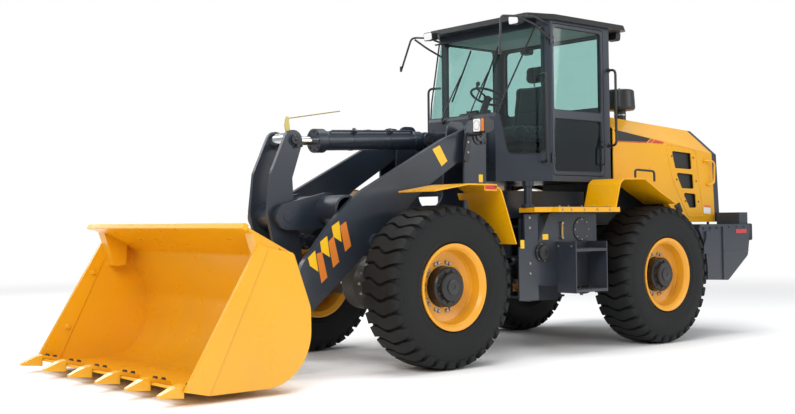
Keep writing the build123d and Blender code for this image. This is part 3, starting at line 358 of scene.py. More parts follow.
for i in range(LUGS):
    course = []
    for across, top, root, half, lead in LUG:
        spin = 2 * math.pi * i / LUGS + lead / TYRE_R
        ring = []
        for radius, side in ((root, -1), (top, -1), (top, 1), (root, 1)):
            swing = (half + (ROOT_DRAFT if radius == root else 0)) / TYRE_R * side
            inward = 0.88 if radius == root else 1.0
            ring.append(casing.verts.new((
                radius * math.cos(spin + swing), across * inward, radius * math.sin(spin + swing),
            )))
        course.append(ring)
    for a, b in zip(course, course[1:]):
        for j in range(3):
            casing.faces.new((a[j], a[j + 1], b[j + 1], b[j]))
    casing.faces.new(course[0])
    casing.faces.new(course[-1])
WHEELS = [(axle, hand) for axle in ("front", "rear") for hand in SIDES]
first = settle(
    "tyre_with_tread_front_left", casing, rubber, "wheel_front_left", corner=LUG_CORNER,
    crease=LUG_CREASE,
)
for axle, hand in WHEELS:
    tyre = first
    if (axle, hand) != ("front", "left"):
        tyre = bpy.data.objects.new(f"tyre_with_tread_{axle}_{hand}", first.data)
        bpy.context.scene.collection.objects.link(tyre)
        round_corners(tyre, LUG_CORNER, LUG_CREASE)
    turn = Matrix.Rotation(0 if hand == "left" else math.pi, 4, "Z")
    tyre.parent = None
    tyre.matrix_world = Matrix.Translation(pins[f"wheel_{axle}_{hand}_spin"]) @ turn
    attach(tyre, f"wheel_{axle}_{hand}")
    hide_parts(f"tyre_{axle}_{hand}")

# ------------------------------------------------------------------ Rims and hubs
# Five-piece steel rims in satin yellow over black planetary hubs. Zinc-plated wheel nuts hold the
# disc, and a ring of small cap screws closes the hub around a round plug.
HUB_R = 0.1725  # the black hub inside the yellow disc
NUT_CIRCLE = 0.203
SCREW_CIRCLE = 0.132


def rim_enamel(name, axis):
    """Satin yellow, black within the hub's radius of the wheel's axis."""
    material = sprayed_enamel(name, "#E8A01A", gloss=0.38, coat=0.15)
    tree = material.node_tree
    place = add_node(tree, "ShaderNodeTexCoord")
    flat = add_node(tree, "ShaderNodeVectorMath", {0: place.outputs["Object"], 1: (axis.x, 0, axis.z)},
                    operation="SUBTRACT")
    level = add_node(tree, "ShaderNodeVectorMath", {0: flat.outputs[0], 1: (1, 0, 1)}, operation="MULTIPLY")
    reach = add_node(tree, "ShaderNodeVectorMath", {0: level.outputs[0]}, operation="LENGTH")
    hub = add_node(tree, "ShaderNodeMath", {0: reach.outputs["Value"], 1: HUB_R}, operation="LESS_THAN")
    skin = next(item for item in tree.nodes if item.type == "BSDF_PRINCIPLED")
    painted = skin.inputs["Base Color"].links[0].from_socket
    tree.links.new(between(tree, hub.outputs[0], painted, "#131415"), skin.inputs["Base Color"])
    return material


def plated(name, dark, light, low=0.28, high=0.45):
    """Plated or bare steel, its tone and gloss in clouds 25 mm wide."""
    material, tree = new_tree(name)
    bloom = noise(tree, 40.0, 5.0)
    surfaced(tree, between(tree, bloom, dark, light), spread(tree, bloom, low, high), {"Metallic": 0.95})
    return material


def hex_bolt(bm, spot, normal, across=0.024):
    """Hex head on a washer, given its width across flats; heads stop at different turns."""
    twist = Matrix.Rotation((spot[0] * 37 + spot[2] * 61) % 1.05, 4, "Z")
    seat = facing(spot, normal) @ twist
    turned(bm, seat, [(across * 0.66, -0.001), (across * 0.66, across * 0.12), (0, across * 0.12)], 16)
    turned(bm, seat, [
        (across * 0.575, across * 0.12), (across * 0.575, across * 0.44), (across * 0.49, across * 0.52),
        (0, across * 0.52),
    ], 6)


zinc = plated("zinc_plate", "#8E8B82", "#B9B7B0")
NUT_PAIRS = 10
for axle, hand in WHEELS:
    sign = SIDES[hand]
    hub = pins[f"wheel_{axle}_{hand}_spin"]
    body = f"wheel_{axle}_{hand}"
    if hand == "left":
        rim_paint = rim_enamel(f"rim_enamel_{axle}", hub)
    dress(rim_paint, f"rim_{axle}_{hand}")
    nuts = bmesh.new()
    for i in range(NUT_PAIRS):
        for lean in (-5.5, 5.5):
            turn = math.radians(360 / NUT_PAIRS * i + lean)
            spot = hub + Vector((NUT_CIRCLE * math.cos(turn), sign * 0.048, NUT_CIRCLE * math.sin(turn)))
            hex_bolt(nuts, spot, (0, sign, 0), 0.027)
    settle(f"wheel_nuts_{axle}_{hand}", nuts, zinc, body)
    screws = bmesh.new()
    for i in range(12):
        turn = math.radians(30 * i + 9)
        spot = hub + Vector((SCREW_CIRCLE * math.cos(turn), sign * 0.142, SCREW_CIRCLE * math.sin(turn)))
        hex_bolt(screws, spot, (0, sign, 0), 0.019)
    centre_plug = facing(hub + Vector((0, sign * 0.18, 0)), (0, sign, 0))
    turned(
        screws, centre_plug,
        [(0.062, 0), (0.062, 0.006), (0.05, 0.009), (0.02, 0.009), (0.018, 0.004), (0, 0.004)],
    )
    settle(f"hub_screws_{axle}_{hand}", screws, satin_black, body)

# ------------------------------------------------------------------ Axles
# Cast axle housings in black: a bolted differential cover on each side, a ring of bolts where each
# final drive joins, and a drain plug below, all zinc plated.
for axle, body in (("front", "front_frame"), ("rear", "rear_frame")):
    bolts = bmesh.new()
    middle = Vector((pins[f"wheel_{axle}_left_spin"].x, 0, pins[f"wheel_{axle}_left_spin"].z))
    for sign in SIDES.values():
        for i in range(14):
            turn = 2 * math.pi * i / 14
            ring = Vector((math.cos(turn), 0, math.sin(turn)))
            hex_bolt(bolts, middle + ring * 0.14 + Vector((0, sign * 0.648, 0)), (0, -sign, 0), 0.02)
            hex_bolt(
                bolts, middle + ring * 0.2 + Vector((0, sign * 0.125, 0)),
                ring + Vector((0, sign * 1.3, 0)), 0.02,
            )
    hex_bolt(bolts, middle + Vector((0, 0.03, -0.235)), (0, 0, -1), 0.032)
    settle(f"axle_bolts_{axle}", bolts, zinc, body)

# ------------------------------------------------------------------ Counterweight and rear lamps
# An iron casting, smooth painted, with welded plates for tying down on its thinner side panels.
# Red reflectors are stuck on, and each lamp is a plastic box with a red and an amber lens.
def forms(count):
    """So many empty bmeshes."""
    return [bmesh.new() for _ in range(count)]


def extruded(bm, matrix, outline, depth):
    """Plate on the matrix's x-y plane with an outline of (x, y), up to depth along z."""
    low = [bm.verts.new(matrix @ Vector((a, b, 0))) for a, b in outline]
    high = [bm.verts.new(matrix @ Vector((a, b, depth))) for a, b in outline]
    bm.faces.new(low)
    bm.faces.new(high)
    for i, corner in enumerate(low):
        j = (i + 1) % len(low)
        bm.faces.new((corner, low[j], high[j], high[i]))


def rounded_outline(width, height, radius, steps=4):
    """Outline of a rectangle centred on the origin, with round corners."""
    rows = []
    for a, b, start in ((1, 1, 0), (-1, 1, 90), (-1, -1, 180), (1, -1, 270)):
        for i in range(steps + 1):
            turn = math.radians(start + 90 * i / steps)
            rows.append((
                a * (width / 2 - radius) + radius * math.cos(turn),
                b * (height / 2 - radius) + radius * math.sin(turn),
            ))
    return rows


def panel(bm, spot, normal, width, height, depth, radius=0.003, up=(0, 0, 1)):
    """Thin plate with round corners that stands on a surface."""
    extruded(bm, facing(spot, normal, up), rounded_outline(width, height, radius), depth)


def side_plate(bm, rows, y, depth):
    """Upright plate of (x, z) rows from the centre pin, from y outwards by depth."""
    extruded(bm, Matrix.Translation(at(0, y, 0)) @ Matrix.Rotation(math.pi / 2, 4, "X"), rows, -depth)


def swept(bm, points, radius, bend=0.0, sides=12):
    """Round bar or pipe along points, its corners bent to curves that start bend away."""
    path = [Vector(points[0])]
    for before, corner, after in zip(points, points[1:], points[2:]):
        before, corner, after = Vector(before), Vector(corner), Vector(after)
        near = corner + (before - corner).normalized() * bend
        far = corner + (after - corner).normalized() * bend
        for i in range(7 if bend else 1):
            t = i / 6
            path.append(near * (1 - t) ** 2 + corner * 2 * t * (1 - t) + far * t ** 2)
    path.append(Vector(points[-1]))
    frame_up = Vector((0, 0, 1)) if abs((path[1] - path[0]).normalized().z) < 0.9 else Vector((1, 0, 0))
    rings = []
    for i, point in enumerate(path):
        run = (path[min(i + 1, len(path) - 1)] - path[max(i - 1, 0)]).normalized()
        side = run.cross(frame_up).normalized()
        frame_up = side.cross(run)
        rings.append([
            bm.verts.new(point + side * radius * math.cos(a) + frame_up * radius * math.sin(a))
            for a in (2 * math.pi * j / sides for j in range(sides))
        ])
    for a, b in zip(rings, rings[1:]):
        for j in range(sides):
            k = (j + 1) % sides
            bm.faces.new((a[j], a[k], b[k], b[j]))
    bm.faces.new(rings[0])
    bm.faces.new(rings[-1])


def points(rows, sign=1):
    """Places of (x, y, z) rows from the centre pin, on the left or, with -1, the right side."""
    return [at(x, sign * y, z) for x, y, z in rows]


def lens(name, code, glow=0.0, fine=180.0):
    """Moulded acrylic over a prism pattern, its prisms about 5 mm wide."""
    material, tree = new_tree(name)
    place = add_node(tree, "ShaderNodeTexCoord").outputs["Object"]
    prism = add_node(tree, "ShaderNodeTexVoronoi", {"Vector": place, "Scale": fine}).outputs["Distance"]
    surfaced(tree, shaded(tree, spread(tree, prism, 1.1, 0.7), code), 0.12, {
        "Normal": relief(tree, prism, 0.6, 0.001), "Coat Weight": 1.0, "Coat Roughness": 0.03,
        "Emission Color": linear(code), "Emission Strength": glow,
    })
    return material


def moulded(name, code, grain=0.5, rough=0.5):
    """Injection-moulded plastic with a pebble grain 2 mm wide."""
    material, tree = new_tree(name)
    place = add_node(tree, "ShaderNodeTexCoord").outputs["Object"]
    pebble = add_node(tree, "ShaderNodeTexVoronoi", {"Vector": place, "Scale": 480.0}).outputs["Distance"]
    cloud = noise(tree, 12.0, 4.0)
    surfaced(tree, shaded(tree, spread(tree, cloud, 0.8, 1.2), code),
             spread(tree, cloud, rough - 0.08, rough + 0.1),
             {"Normal": relief(tree, pebble, grain, 0.0003, 0.002)})
    return material


black_plastic = moulded("black_plastic", "#1A1B1D")
# The red lens glows faintly. The side and fender reflectors share it though they are no lamps, so on them
# this glow is painted light.
red_lens = lens("red_acrylic", "#C4141A", glow=0.05)
amber_lens = lens("amber_acrylic", "#E07A10", glow=0.05)
WEIGHT_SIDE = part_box("counterweight")[1].y
PANEL_SIDE = WEIGHT_SIDE - 0.014
TIE_DOWN = [
    (-2.09, 0.86), (-2.09, 0.93), (-2.14, 1.02), (-2.14, 1.09), (-2.26, 1.09), (-2.26, 1.02),
    (-2.21, 0.95), (-2.21, 0.86),
]
WEIGHT_STEP = -2.448  # where the thinner side panels end
weight_steel, weight_bolts, reflectors = forms(3)
for sign in SIDES.values():
    for x in (-2.12, -2.24, -2.36, -2.56, -2.70, -2.84):
        y = PANEL_SIDE if x > WEIGHT_STEP else WEIGHT_SIDE
        hex_bolt(weight_bolts, at(x, sign * y, 1.12 if x > WEIGHT_STEP else 1.132), (0, sign, 0), 0.02)
    side_plate(weight_steel, TIE_DOWN, sign * PANEL_SIDE, sign * 0.022)
    swept(
        weight_steel, points([(-2.46, WEIGHT_SIDE, 0.88), (-2.915, WEIGHT_SIDE, 0.88)], sign), 0.006,
        sides=8,
    )
    panel(reflectors, at(-2.78, sign * WEIGHT_SIDE, 1.085), (0, sign, 0), 0.2, 0.042, 0.004)
settle("tie_down_plates", weight_steel, slate_navy, "rear_frame", corner=0.003)
settle("counterweight_bolts", weight_bolts, slate_navy, "rear_frame")
# painted glow: these reflectors are no lamps, but their red lens glows
settle("side_reflectors", reflectors, red_lens, "rear_frame")

lamp_low, lamp_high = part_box("rear_lamps")
LAMP_Z = (lamp_low.z + lamp_high.z) / 2
shells, reds, ambers = forms(3)
for sign in SIDES.values():
    y = sign * (lamp_high.y - 0.038)
    panel(shells, (lamp_high.x, y, LAMP_Z), (-1, 0, 0), 0.076, 0.18, 0.044, radius=0.018)
    panel(reds, (lamp_low.x + 0.012, y, LAMP_Z + 0.032), (-1, 0, 0), 0.064, 0.104, 0.011, radius=0.012)
    panel(ambers, (lamp_low.x + 0.012, y, LAMP_Z - 0.053), (-1, 0, 0), 0.064, 0.058, 0.011, radius=0.012)
lamp_shells = settle(
    "rear_lamp_housings", shells, black_plastic, "rear_frame", corner=0.003,
)
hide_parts("rear_lamps")
settle("rear_lamp_red_lenses", reds, red_lens, "rear_frame", corner=0.002)
settle("rear_lamp_amber_lenses", ambers, amber_lens, "rear_frame", corner=0.002)

# ------------------------------------------------------------------ Tanks
# Folded 5 mm plate tanks, seam welded, with a bolted cover, a round filler cap under a black guard
# and a glass level gauge between two banjo fittings. The shield ahead is bolted to the tank.
def vinyl(name, code, rough=0.35):
    """Printed vinyl sheet, its surface slightly quilted by the paint under it."""
    material, tree = new_tree(name)
    quilt = noise(tree, 90.0, 2.0)
    surfaced(tree, shaded(tree, spread(tree, quilt, 0.92, 1.06), code), rough, {
        "Normal": relief(tree, quilt, 0.2, 0.0003), "Coat Weight": 0.3,
    })
    return material


yellow_vinyl = vinyl("yellow_vinyl", "#F6C416")
gauge_glass = lens("gauge_tube", "#C9A54A", fine=60.0)
TANK_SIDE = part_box("fuel_tank")[1].y
CAP_X, CAP_Z = 0.15, 0.925
COVER_X, COVER_Z = -0.395, 1.129
GAUGE_X = -0.115
tank_covers, tank_fittings, tank_caps, tank_labels, gauges = forms(5)
for sign in SIDES.values():
    out = (0, sign, 0)
    y = sign * TANK_SIDE
    turned(tank_caps, facing(at(CAP_X, y, CAP_Z), out), [
        (0.088, 0), (0.088, 0.012), (0.074, 0.018), (0.07, 0.044), (0.06, 0.05), (0.026, 0.05),
        (0.024, 0.04), (0, 0.04),
    ], 32)
    for i in range(6):
        turn = math.radians(60 * i + 15)
        hex_bolt(
            tank_fittings,
            at(CAP_X + 0.08 * math.cos(turn), y + sign * 0.013, CAP_Z + 0.08 * math.sin(turn)), out, 0.011,
        )
    turned(
        tank_covers, facing(at(COVER_X, y, COVER_Z), out),
        [(0.112, 0), (0.112, 0.006), (0.108, 0.009), (0, 0.009)], 40,
    )
    for i in range(8):
        turn = math.radians(45 * i)
        hex_bolt(
            tank_fittings,
            at(COVER_X + 0.094 * math.cos(turn), y + sign * 0.009, COVER_Z + 0.094 * math.sin(turn)), out,
            0.013,
        )
    for z in (1.053, 1.191):
        turned(
            tank_fittings, facing(at(GAUGE_X, y, z), out),
            [(0.016, 0), (0.016, 0.022), (0.012, 0.026), (0, 0.026)], 6,
        )
    swept(gauges, [at(GAUGE_X, y + sign * 0.016, z) for z in (1.06, 1.184)], 0.009)
    for z in (1.24, 1.15, 0.83, 0.74):
        hex_bolt(tank_fittings, at(0.31, y, z), out, 0.019)
    panel(tank_labels, at(0.405, y, 1.004), out, 0.05, 0.075, 0.0012)
    panel(tank_labels, at(0.10, y, 1.065), out, 0.075, 0.05, 0.0012)
    swept(tank_covers, [at(-0.6, y, 1.272), at(0.02, y, 1.272)], 0.004, sides=8)
    swept(tank_covers, [at(-0.6, y, 0.615), at(-0.13, y, 0.618), at(0.19, y, 0.634)], 0.004, sides=8)
settle("tank_covers", tank_covers, slate_navy, "rear_frame")
settle("tank_fittings", tank_fittings, zinc, "rear_frame")
settle("tank_filler_caps", tank_caps, black_plastic, "rear_frame", corner=0.002)
settle("tank_labels", tank_labels, yellow_vinyl, "rear_frame")
settle("level_gauges", gauges, gauge_glass, "rear_frame")

# ------------------------------------------------------------------ Platforms, fenders and ladders
# Yellow rolled-plate fenders carry a chequered tread plate, screwed down. The ladders' treads have
# pressed grip studs, and reflectors hang below the fenders' outer edges.
def chequer_plate():
    """Tread plate with raised bars 30 mm long that lie crosswise in turn."""
    material, tree = new_tree("chequer_plate")
    place = add_node(tree, "ShaderNodeTexCoord")
    bars = []
    for turn in (math.radians(45), math.radians(-45)):
        lie = add_node(
            tree, "ShaderNodeMapping", {"Vector": place.outputs["Object"], "Rotation": (0, 0, turn)},
        )
        cells = add_node(tree, "ShaderNodeTexBrick", {
            "Vector": lie.outputs[0], "Scale": 18.0, "Color1": (1, 1, 1, 1), "Color2": (1, 1, 1, 1),
            "Mortar": (0, 0, 0, 1), "Mortar Size": 0.16, "Mortar Smooth": 0.5, "Brick Width": 1.0,
            "Row Height": 0.5,
        })
        bars.append(cells.outputs["Color"])
    both = add_node(tree, "ShaderNodeMix", {0: 1.0, 6: bars[0], 7: bars[1]}, data_type="RGBA",
                    blend_type="MULTIPLY").outputs[2]
    surfaced(tree, between(tree, both, "#26292D", "#4A4D50"), 0.45, {
        "Normal": relief(tree, both, 0.9, 0.002), "Metallic": 0.3,
    })
    return material


DECK_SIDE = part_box("platform_left")[1].y
DECK_Z = 1.335
tread_plates, deck_bolts, ladder_studs, fender_reflectors, fender_brackets, fender_handles = forms(6)
for sign in SIDES.values():
    outline = [
        (-0.58, 0.775), (0.01, 0.775), (0.02, 0.81), (0.15, 0.9), (0.26, 0.98), (0.165, 1.045),
        (0.14, 1.135), (-0.58, 1.135),
    ]
    extruded(tread_plates, Matrix.Translation(at(0, 0, DECK_Z)), [(a, sign * b) for a, b in outline], 0.004)
    for x in (-0.54, -0.36, -0.18, 0.0, 0.12):
        hex_bolt(deck_bolts, at(x, sign * DECK_SIDE, 1.312), (0, sign, 0), 0.016)
        hex_bolt(deck_bolts, at(x, sign * 1.115, DECK_Z + 0.004), (0, 0, 1), 0.016)
    for z in (0.955, 0.585):
        for i in range(7):
            for y in (1.01, 1.05, 1.09, 1.13):
                turned(ladder_studs, facing(at(-0.455 + 0.055 * i, sign * y, z), (0, 0, 1)), [
                    (0.012, 0), (0.009, 0.005), (0.005, 0.005), (0.004, 0.001),
                ], 12)
    for x in (-0.494, -0.061):
        for y in (0.945, 1.1):
            hex_bolt(
                deck_bolts, at(x + (0.013 if x > -0.2 else -0.013), sign * y, 0.98),
                (1 if x > -0.2 else -1, 0, 0), 0.016,
            )
    panel(fender_brackets, at(1.02, sign * 1.143, 1.497), (0, sign, 0), 0.15, 0.056, 0.003)
    panel(fender_reflectors, at(1.02, sign * 1.146, 1.497), (0, sign, 0), 0.13, 0.032, 0.004)
    swept(
        fender_handles,
        points([(-1.02, 1.08, 1.622), (-1.02, 1.08, 1.70), (-1.32, 1.08, 1.69), (-1.32, 1.08, 1.59)], sign),
        0.011, bend=0.035,
    )
settle("deck_tread_plates", tread_plates, chequer_plate(), "rear_frame", corner=0.001)
settle("deck_and_ladder_bolts", deck_bolts, zinc, "rear_frame")
settle("ladder_grip_studs", ladder_studs, slate_navy, "rear_frame")
settle("fender_reflector_brackets", fender_brackets, chrome_yellow, "front_frame")
# painted glow: these reflectors are no lamps, but their red lens glows
settle("fender_reflectors", fender_reflectors, red_lens, "front_frame")
settle("fender_handles", fender_handles, satin_black, "rear_frame")

# ------------------------------------------------------------------ Cab glass, seals and headliner
# Tinted safety glass, 6 mm, set in black rubber profile. Pale felt lines the roof, and two wipers
# with rubber blades park upright on the windscreen.
def tinted_glass(name, code):
    """Clear tinted pane that lets light straight through, so that the cab isn't dark inside."""
    material, tree = new_tree(name)
    rough = spread(tree, noise(tree, 3.0, 5.0), 0.01, 0.05)
    see = add_node(tree, "ShaderNodeBsdfTransparent", {"Color": linear(code)})
    shine = add_node(tree, "ShaderNodeBsdfGlossy", {"Color": (1, 1, 1, 1), "Roughness": rough})
    rim = add_node(tree, "ShaderNodeFresnel", {"IOR": 1.5})
    side = add_node(tree, "ShaderNodeNewGeometry")
    outer = add_node(tree, "ShaderNodeMath", {0: 1.0, 1: side.outputs["Backfacing"]}, operation="SUBTRACT")
    mirror = add_node(
        tree, "ShaderNodeMath", {0: rim.outputs[0], 1: outer.outputs[0]}, operation="MULTIPLY",
    )
    skin = add_node(
        tree, "ShaderNodeMixShader", {0: mirror.outputs[0], 1: see.outputs[0], 2: shine.outputs[0]},
    )
    add_node(tree, "ShaderNodeOutputMaterial", {"Surface": skin.outputs[0]})
    return material


def soft_cloth(name, dark, light, pitch=0.004):
    """Woven cloth: warp and weft ridges at a pitch in metres, with mottled yarn."""
    material, tree = new_tree(name)
    place = add_node(tree, "ShaderNodeTexCoord")
    ridges = []
    for axis in ("X", "Y", "Z"):
        ridges.append(add_node(tree, "ShaderNodeTexWave", {
            "Vector": place.outputs["Object"], "Scale": 0.314 / pitch, "Distortion": 0.6, "Detail": 1.0,
        }, bands_direction=axis).outputs["Fac"])
    two = add_node(tree, "ShaderNodeMath", {0: ridges[0], 1: ridges[1]}, operation="MULTIPLY")
    weave = add_node(tree, "ShaderNodeMath", {0: two.outputs[0], 1: ridges[2]}, operation="ADD")
    surfaced(tree, between(tree, noise(tree, 150.0, 3.0), dark, light), 0.9, {
        "Normal": relief(tree, weave.outputs[0], 0.5, 0.0008), "Sheen Weight": 0.3,
    })
    return material


teal_glass = tinted_glass("teal_glass", "#DDEDEB")
dress(teal_glass, "cab_glass", "door_glass_left", "door_glass_right")
seal_rubber = moulded("seal_rubber", "#0F1011", grain=0.2, rough=0.6)
felt = soft_cloth("felt_lining", "#6E7073", "#8B8D8F")
CAB_SIDE = 0.75
CAB_NOSE = 0.465
CAB_FRONT = 0.27
FOLD = -0.20  # where a side window turns in towards the windscreen
TURN_IN = (CAB_SIDE - CAB_NOSE) / (CAB_FRONT - FOLD)
SCREEN_FOOT = Vector((0.265, 0, 2.21))
SCREEN_HEAD = Vector((-0.09, 0, 3.115))


def on_screen(y, z, lift=0.0):
    """Point on the windscreen at a height, lifted off the glass."""
    share = (z - SCREEN_FOOT.z) / (SCREEN_HEAD.z - SCREEN_FOOT.z)
    x = SCREEN_FOOT.x + share * (SCREEN_HEAD.x - SCREEN_FOOT.x)
    return at(x + lift * 0.93 - 0.014, y, z + lift * 0.365)


def on_wing(x, z, sign, lift=0.0):
    """Point on a turned-in side window, lifted off the glass."""
    y = CAB_NOSE + (CAB_FRONT - x) * TURN_IN
    return at(x + lift * 0.52 - 0.007, sign * (y + lift * 0.855 - 0.012), z)


seals = bmesh.new()
for sign in SIDES.values():
    wing = [(-0.148, 3.045), (-0.148, 1.84), (0.165, 1.84), (0.232, 2.222)]
    swept(seals, [on_wing(x, z, sign) for x, z in wing], 0.009, bend=0.03, sides=8)
    swept(
        seals,
        points(
            [(0.236, 0.472, 2.222), (0.185, 0.512, 2.40), (0.04, 0.60, 2.76), (-0.07, 0.667, 3.04)], sign,
        ),
        0.008, sides=8,
    )
    rear = [(-1.053, sign * a, b) for a, b in ((0.0, 2.334), (0.655, 2.334), (0.655, 3.04), (0.0, 3.04))]
    swept(seals, points(rear), 0.009, bend=0.06, sides=8)
swept(seals, [on_screen(y, 2.226) for y in (-0.46, 0.0, 0.46)], 0.009, sides=8)
swept(seals, [on_screen(y, 3.048) for y in (-0.735, 0.0, 0.735)], 0.009, sides=8)
settle("cab_window_seals", seals, seal_rubber, "rear_frame")

DOOR_FRONT = -0.2
DOOR_REAR = -0.97
# outlines of the door's two panes: rear, front, bottom, top
DOOR_PANES = [
    (DOOR_REAR + 0.038, DOOR_FRONT - 0.038, 2.262, 3.056),
    (DOOR_REAR + 0.038, DOOR_FRONT - 0.038, 1.68, 2.186),
]
for hand, sign in SIDES.items():
    door_seals = bmesh.new()
    for low_x, high_x, low_z, high_z in DOOR_PANES:
        middle = ((low_x + high_x) / 2, (low_z + high_z) / 2)
        ring = [at(x, sign * 0.738, z) for x, z in (
            (middle[0], high_z), (high_x, high_z), (high_x, low_z), (low_x, low_z), (low_x, high_z),
            (middle[0] - 0.001, high_z),
        )]
        swept(door_seals, ring, 0.0075, bend=0.035, sides=8)
    settle(f"door_seals_{hand}", door_seals, seal_rubber, f"door_{hand}")

    # a pull bar under a plate with a push button
    latch = bmesh.new()
    swept(
        latch,
        points(
            [(-0.925, 0.75, 1.93), (-0.925, 0.788, 1.93), (-0.925, 0.788, 1.76), (-0.925, 0.75, 1.76)],
            sign,
        ),
        0.009, bend=0.02,
    )
    panel(latch, at(-0.925, sign * 0.75, 1.98), (0, sign, 0), 0.03, 0.08, 0.012, radius=0.012)
    turned(
        latch, facing(at(-0.925, sign * 0.762, 1.985), (0, sign, 0)),
        [(0.011, 0), (0.011, 0.006), (0.008, 0.008), (0, 0.008)],
    )
    settle(f"door_handle_{hand}", latch, black_plastic, f"door_{hand}", corner=0.002)
    screws = bmesh.new()
    for z in (1.782, 1.828, 2.902, 2.948):
        hex_bolt(screws, at(-0.228, sign * 0.756, z), (0, sign, 0), 0.013)
    settle(f"door_hinge_bolts_{hand}", screws, satin_black, f"door_{hand}")

wipers = bmesh.new()
for y, lean in ((0.13, 0.09), (-0.25, 0.09)):
    turned(
        wipers, facing(on_screen(y, 2.19, 0.014), (0.93, 0, 0.365)),
        [(0.026, -0.02), (0.026, 0.012), (0.018, 0.02), (0, 0.02)],
    )
    swept(
        wipers,
        [on_screen(y, 2.19, 0.038), on_screen(y + lean * 0.5, 2.42, 0.04), on_screen(y + lean, 2.64, 0.028)],
        0.0065, bend=0.03, sides=8,
    )
    for lift, radius in ((0.022, 0.006), (0.012, 0.0035)):
        swept(
            wipers, [on_screen(y + lean * 0.62, 2.38, lift), on_screen(y + lean * 1.35, 2.9, lift)], radius,
            sides=6,
        )
settle("wipers", wipers, black_plastic, "rear_frame")

headliner = bmesh.new()
outline = [(-0.13, -0.63), (-0.13, 0.63), (-0.24, 0.7), (-1.0, 0.7), (-1.0, -0.7), (-0.24, -0.7)]
extruded(headliner, Matrix.Translation(at(0, 0, 3.064)), outline, 0.004)
settle("headliner", headliner, felt, "rear_frame", corner=0.002)

# ------------------------------------------------------------------ Cab body trim
# Bent tube grab rails, mirror arms without their heads, and work lamps on rod brackets. A bolted
# painted cover closes the cowl, and the panels' joints are sealed with dark bead.

# each rail: its root's x and y, its bar's x and y, its top and bottom
GRAB_RAILS = [(-0.118, 0.70, -0.05, 0.82, 2.594, 1.765), (-1.045, 0.745, -1.045, 0.84, 2.70, 1.95)]
rails, rail_bolts, panel_beads, cowl = forms(4)
for sign in SIDES.values():
    for root_x, root_y, bar_x, bar_y, high, low in GRAB_RAILS:
        swept(
            rails,
            points(
                [(root_x, root_y, high), (bar_x, bar_y, high), (bar_x, bar_y, low), (root_x, root_y, low)],
                sign,
            ),
            0.0125, bend=0.05,
        )
    for z in (1.95, 2.70):
        turned(
            rail_bolts, facing(at(-1.045, sign * 0.75, z), (0, sign, 0)),
            [(0.026, 0), (0.026, 0.005), (0, 0.005)],
        )
    swept(
        panel_beads, [on_wing(-0.18, 1.706, sign, 0.011), on_wing(0.262, 1.706, sign, 0.011)], 0.003,
        sides=6,
    )
swept(panel_beads, [at(0.271, y, 1.706) for y in (-0.46, 0.46)], 0.003, sides=6)
for z in (1.76, 2.12):
    for y in (-0.4, -0.13, 0.13, 0.4):
        hex_bolt(rail_bolts, at(0.27, y, z), (1, 0, 0), 0.013)
panel(cowl, at(0.2705, 0, 1.94), (1, 0, 0), 0.72, 0.30, 0.008, radius=0.03, up=(0, 0, 1))
settle("grab_rails", rails, satin_black, "rear_frame")
settle("cab_bolts", rail_bolts, satin_black, "rear_frame")
settle("cab_panel_beads", panel_beads, seal_rubber, "rear_frame")
settle("cowl_cover", cowl, slate_navy, "rear_frame", corner=0.003)

mirror_arms = bmesh.new()
# each arm's side, then its bends from the cab outwards: a long arm and a stay on each side
MIRROR_ARMS = [
    (1, [(-0.17, 0.745, 3.075), (0.12, 0.83, 3.10), (0.677, 0.95, 3.027), (0.691, 0.95, 2.684)]),
    (1, [(-0.19, 0.752, 2.93), (0.1, 0.82, 3.03), (0.42, 0.9, 3.06)]),
    (-1, [(-0.19, 0.752, 3.08), (-0.05, 0.82, 3.13), (0.064, 0.95, 3.14), (0.214, 0.95, 2.772)]),
    (-1, [(-0.19, 0.752, 2.93), (-0.06, 0.84, 3.02), (0.04, 0.93, 3.12)]),
]
for sign, rows in MIRROR_ARMS:
    swept(mirror_arms, points(rows, sign), 0.0105, bend=0.05)
for x, y, z in ((0.691, 0.95, 2.684), (0.214, -0.95, 2.772)):
    turned(mirror_arms, facing(at(x, y, z), (0, 0, -1)), [(0.0125, -0.05), (0.0125, 0.004), (0, 0.004)])
settle("mirror_arms", mirror_arms, satin_black, "rear_frame")

clear_lens = lens("clear_acrylic", "#E6E8EA", glow=0.15, fine=140.0)
lamp_bodies, lamp_glasses = forms(2)
# work lamps: x, y and z of the middle of the glass, then the way it faces
WORK_LAMPS = [
    (0.15, 0.60, 3.105, 1), (0.15, -0.60, 3.105, 1), (-1.36, 0.60, 3.09, -1), (-1.36, -0.60, 3.09, -1),
]
for x, y, z, ahead_way in WORK_LAMPS:
    body_back = at(x - 0.075 * ahead_way, y, z)
    panel(lamp_bodies, body_back, (ahead_way, 0, -0.12), 0.13, 0.085, 0.072, radius=0.02)
    panel(
        lamp_glasses, at(x - 0.004 * ahead_way, y, z - 0.008), (ahead_way, 0, -0.12), 0.114, 0.07, 0.006,
        radius=0.016,
    )
    foot = at(-0.06 if ahead_way > 0 else -1.3, y, 3.13)
    swept(
        lamp_bodies, [foot, at(x - 0.045 * ahead_way, y, 3.13), at(x - 0.045 * ahead_way, y, z)], 0.009,
        bend=0.02,
    )
settle("work_lamp_bodies", lamp_bodies, black_plastic, "rear_frame", corner=0.002)
settle("work_lamp_glasses", lamp_glasses, clear_lens, "rear_frame", corner=0.002)

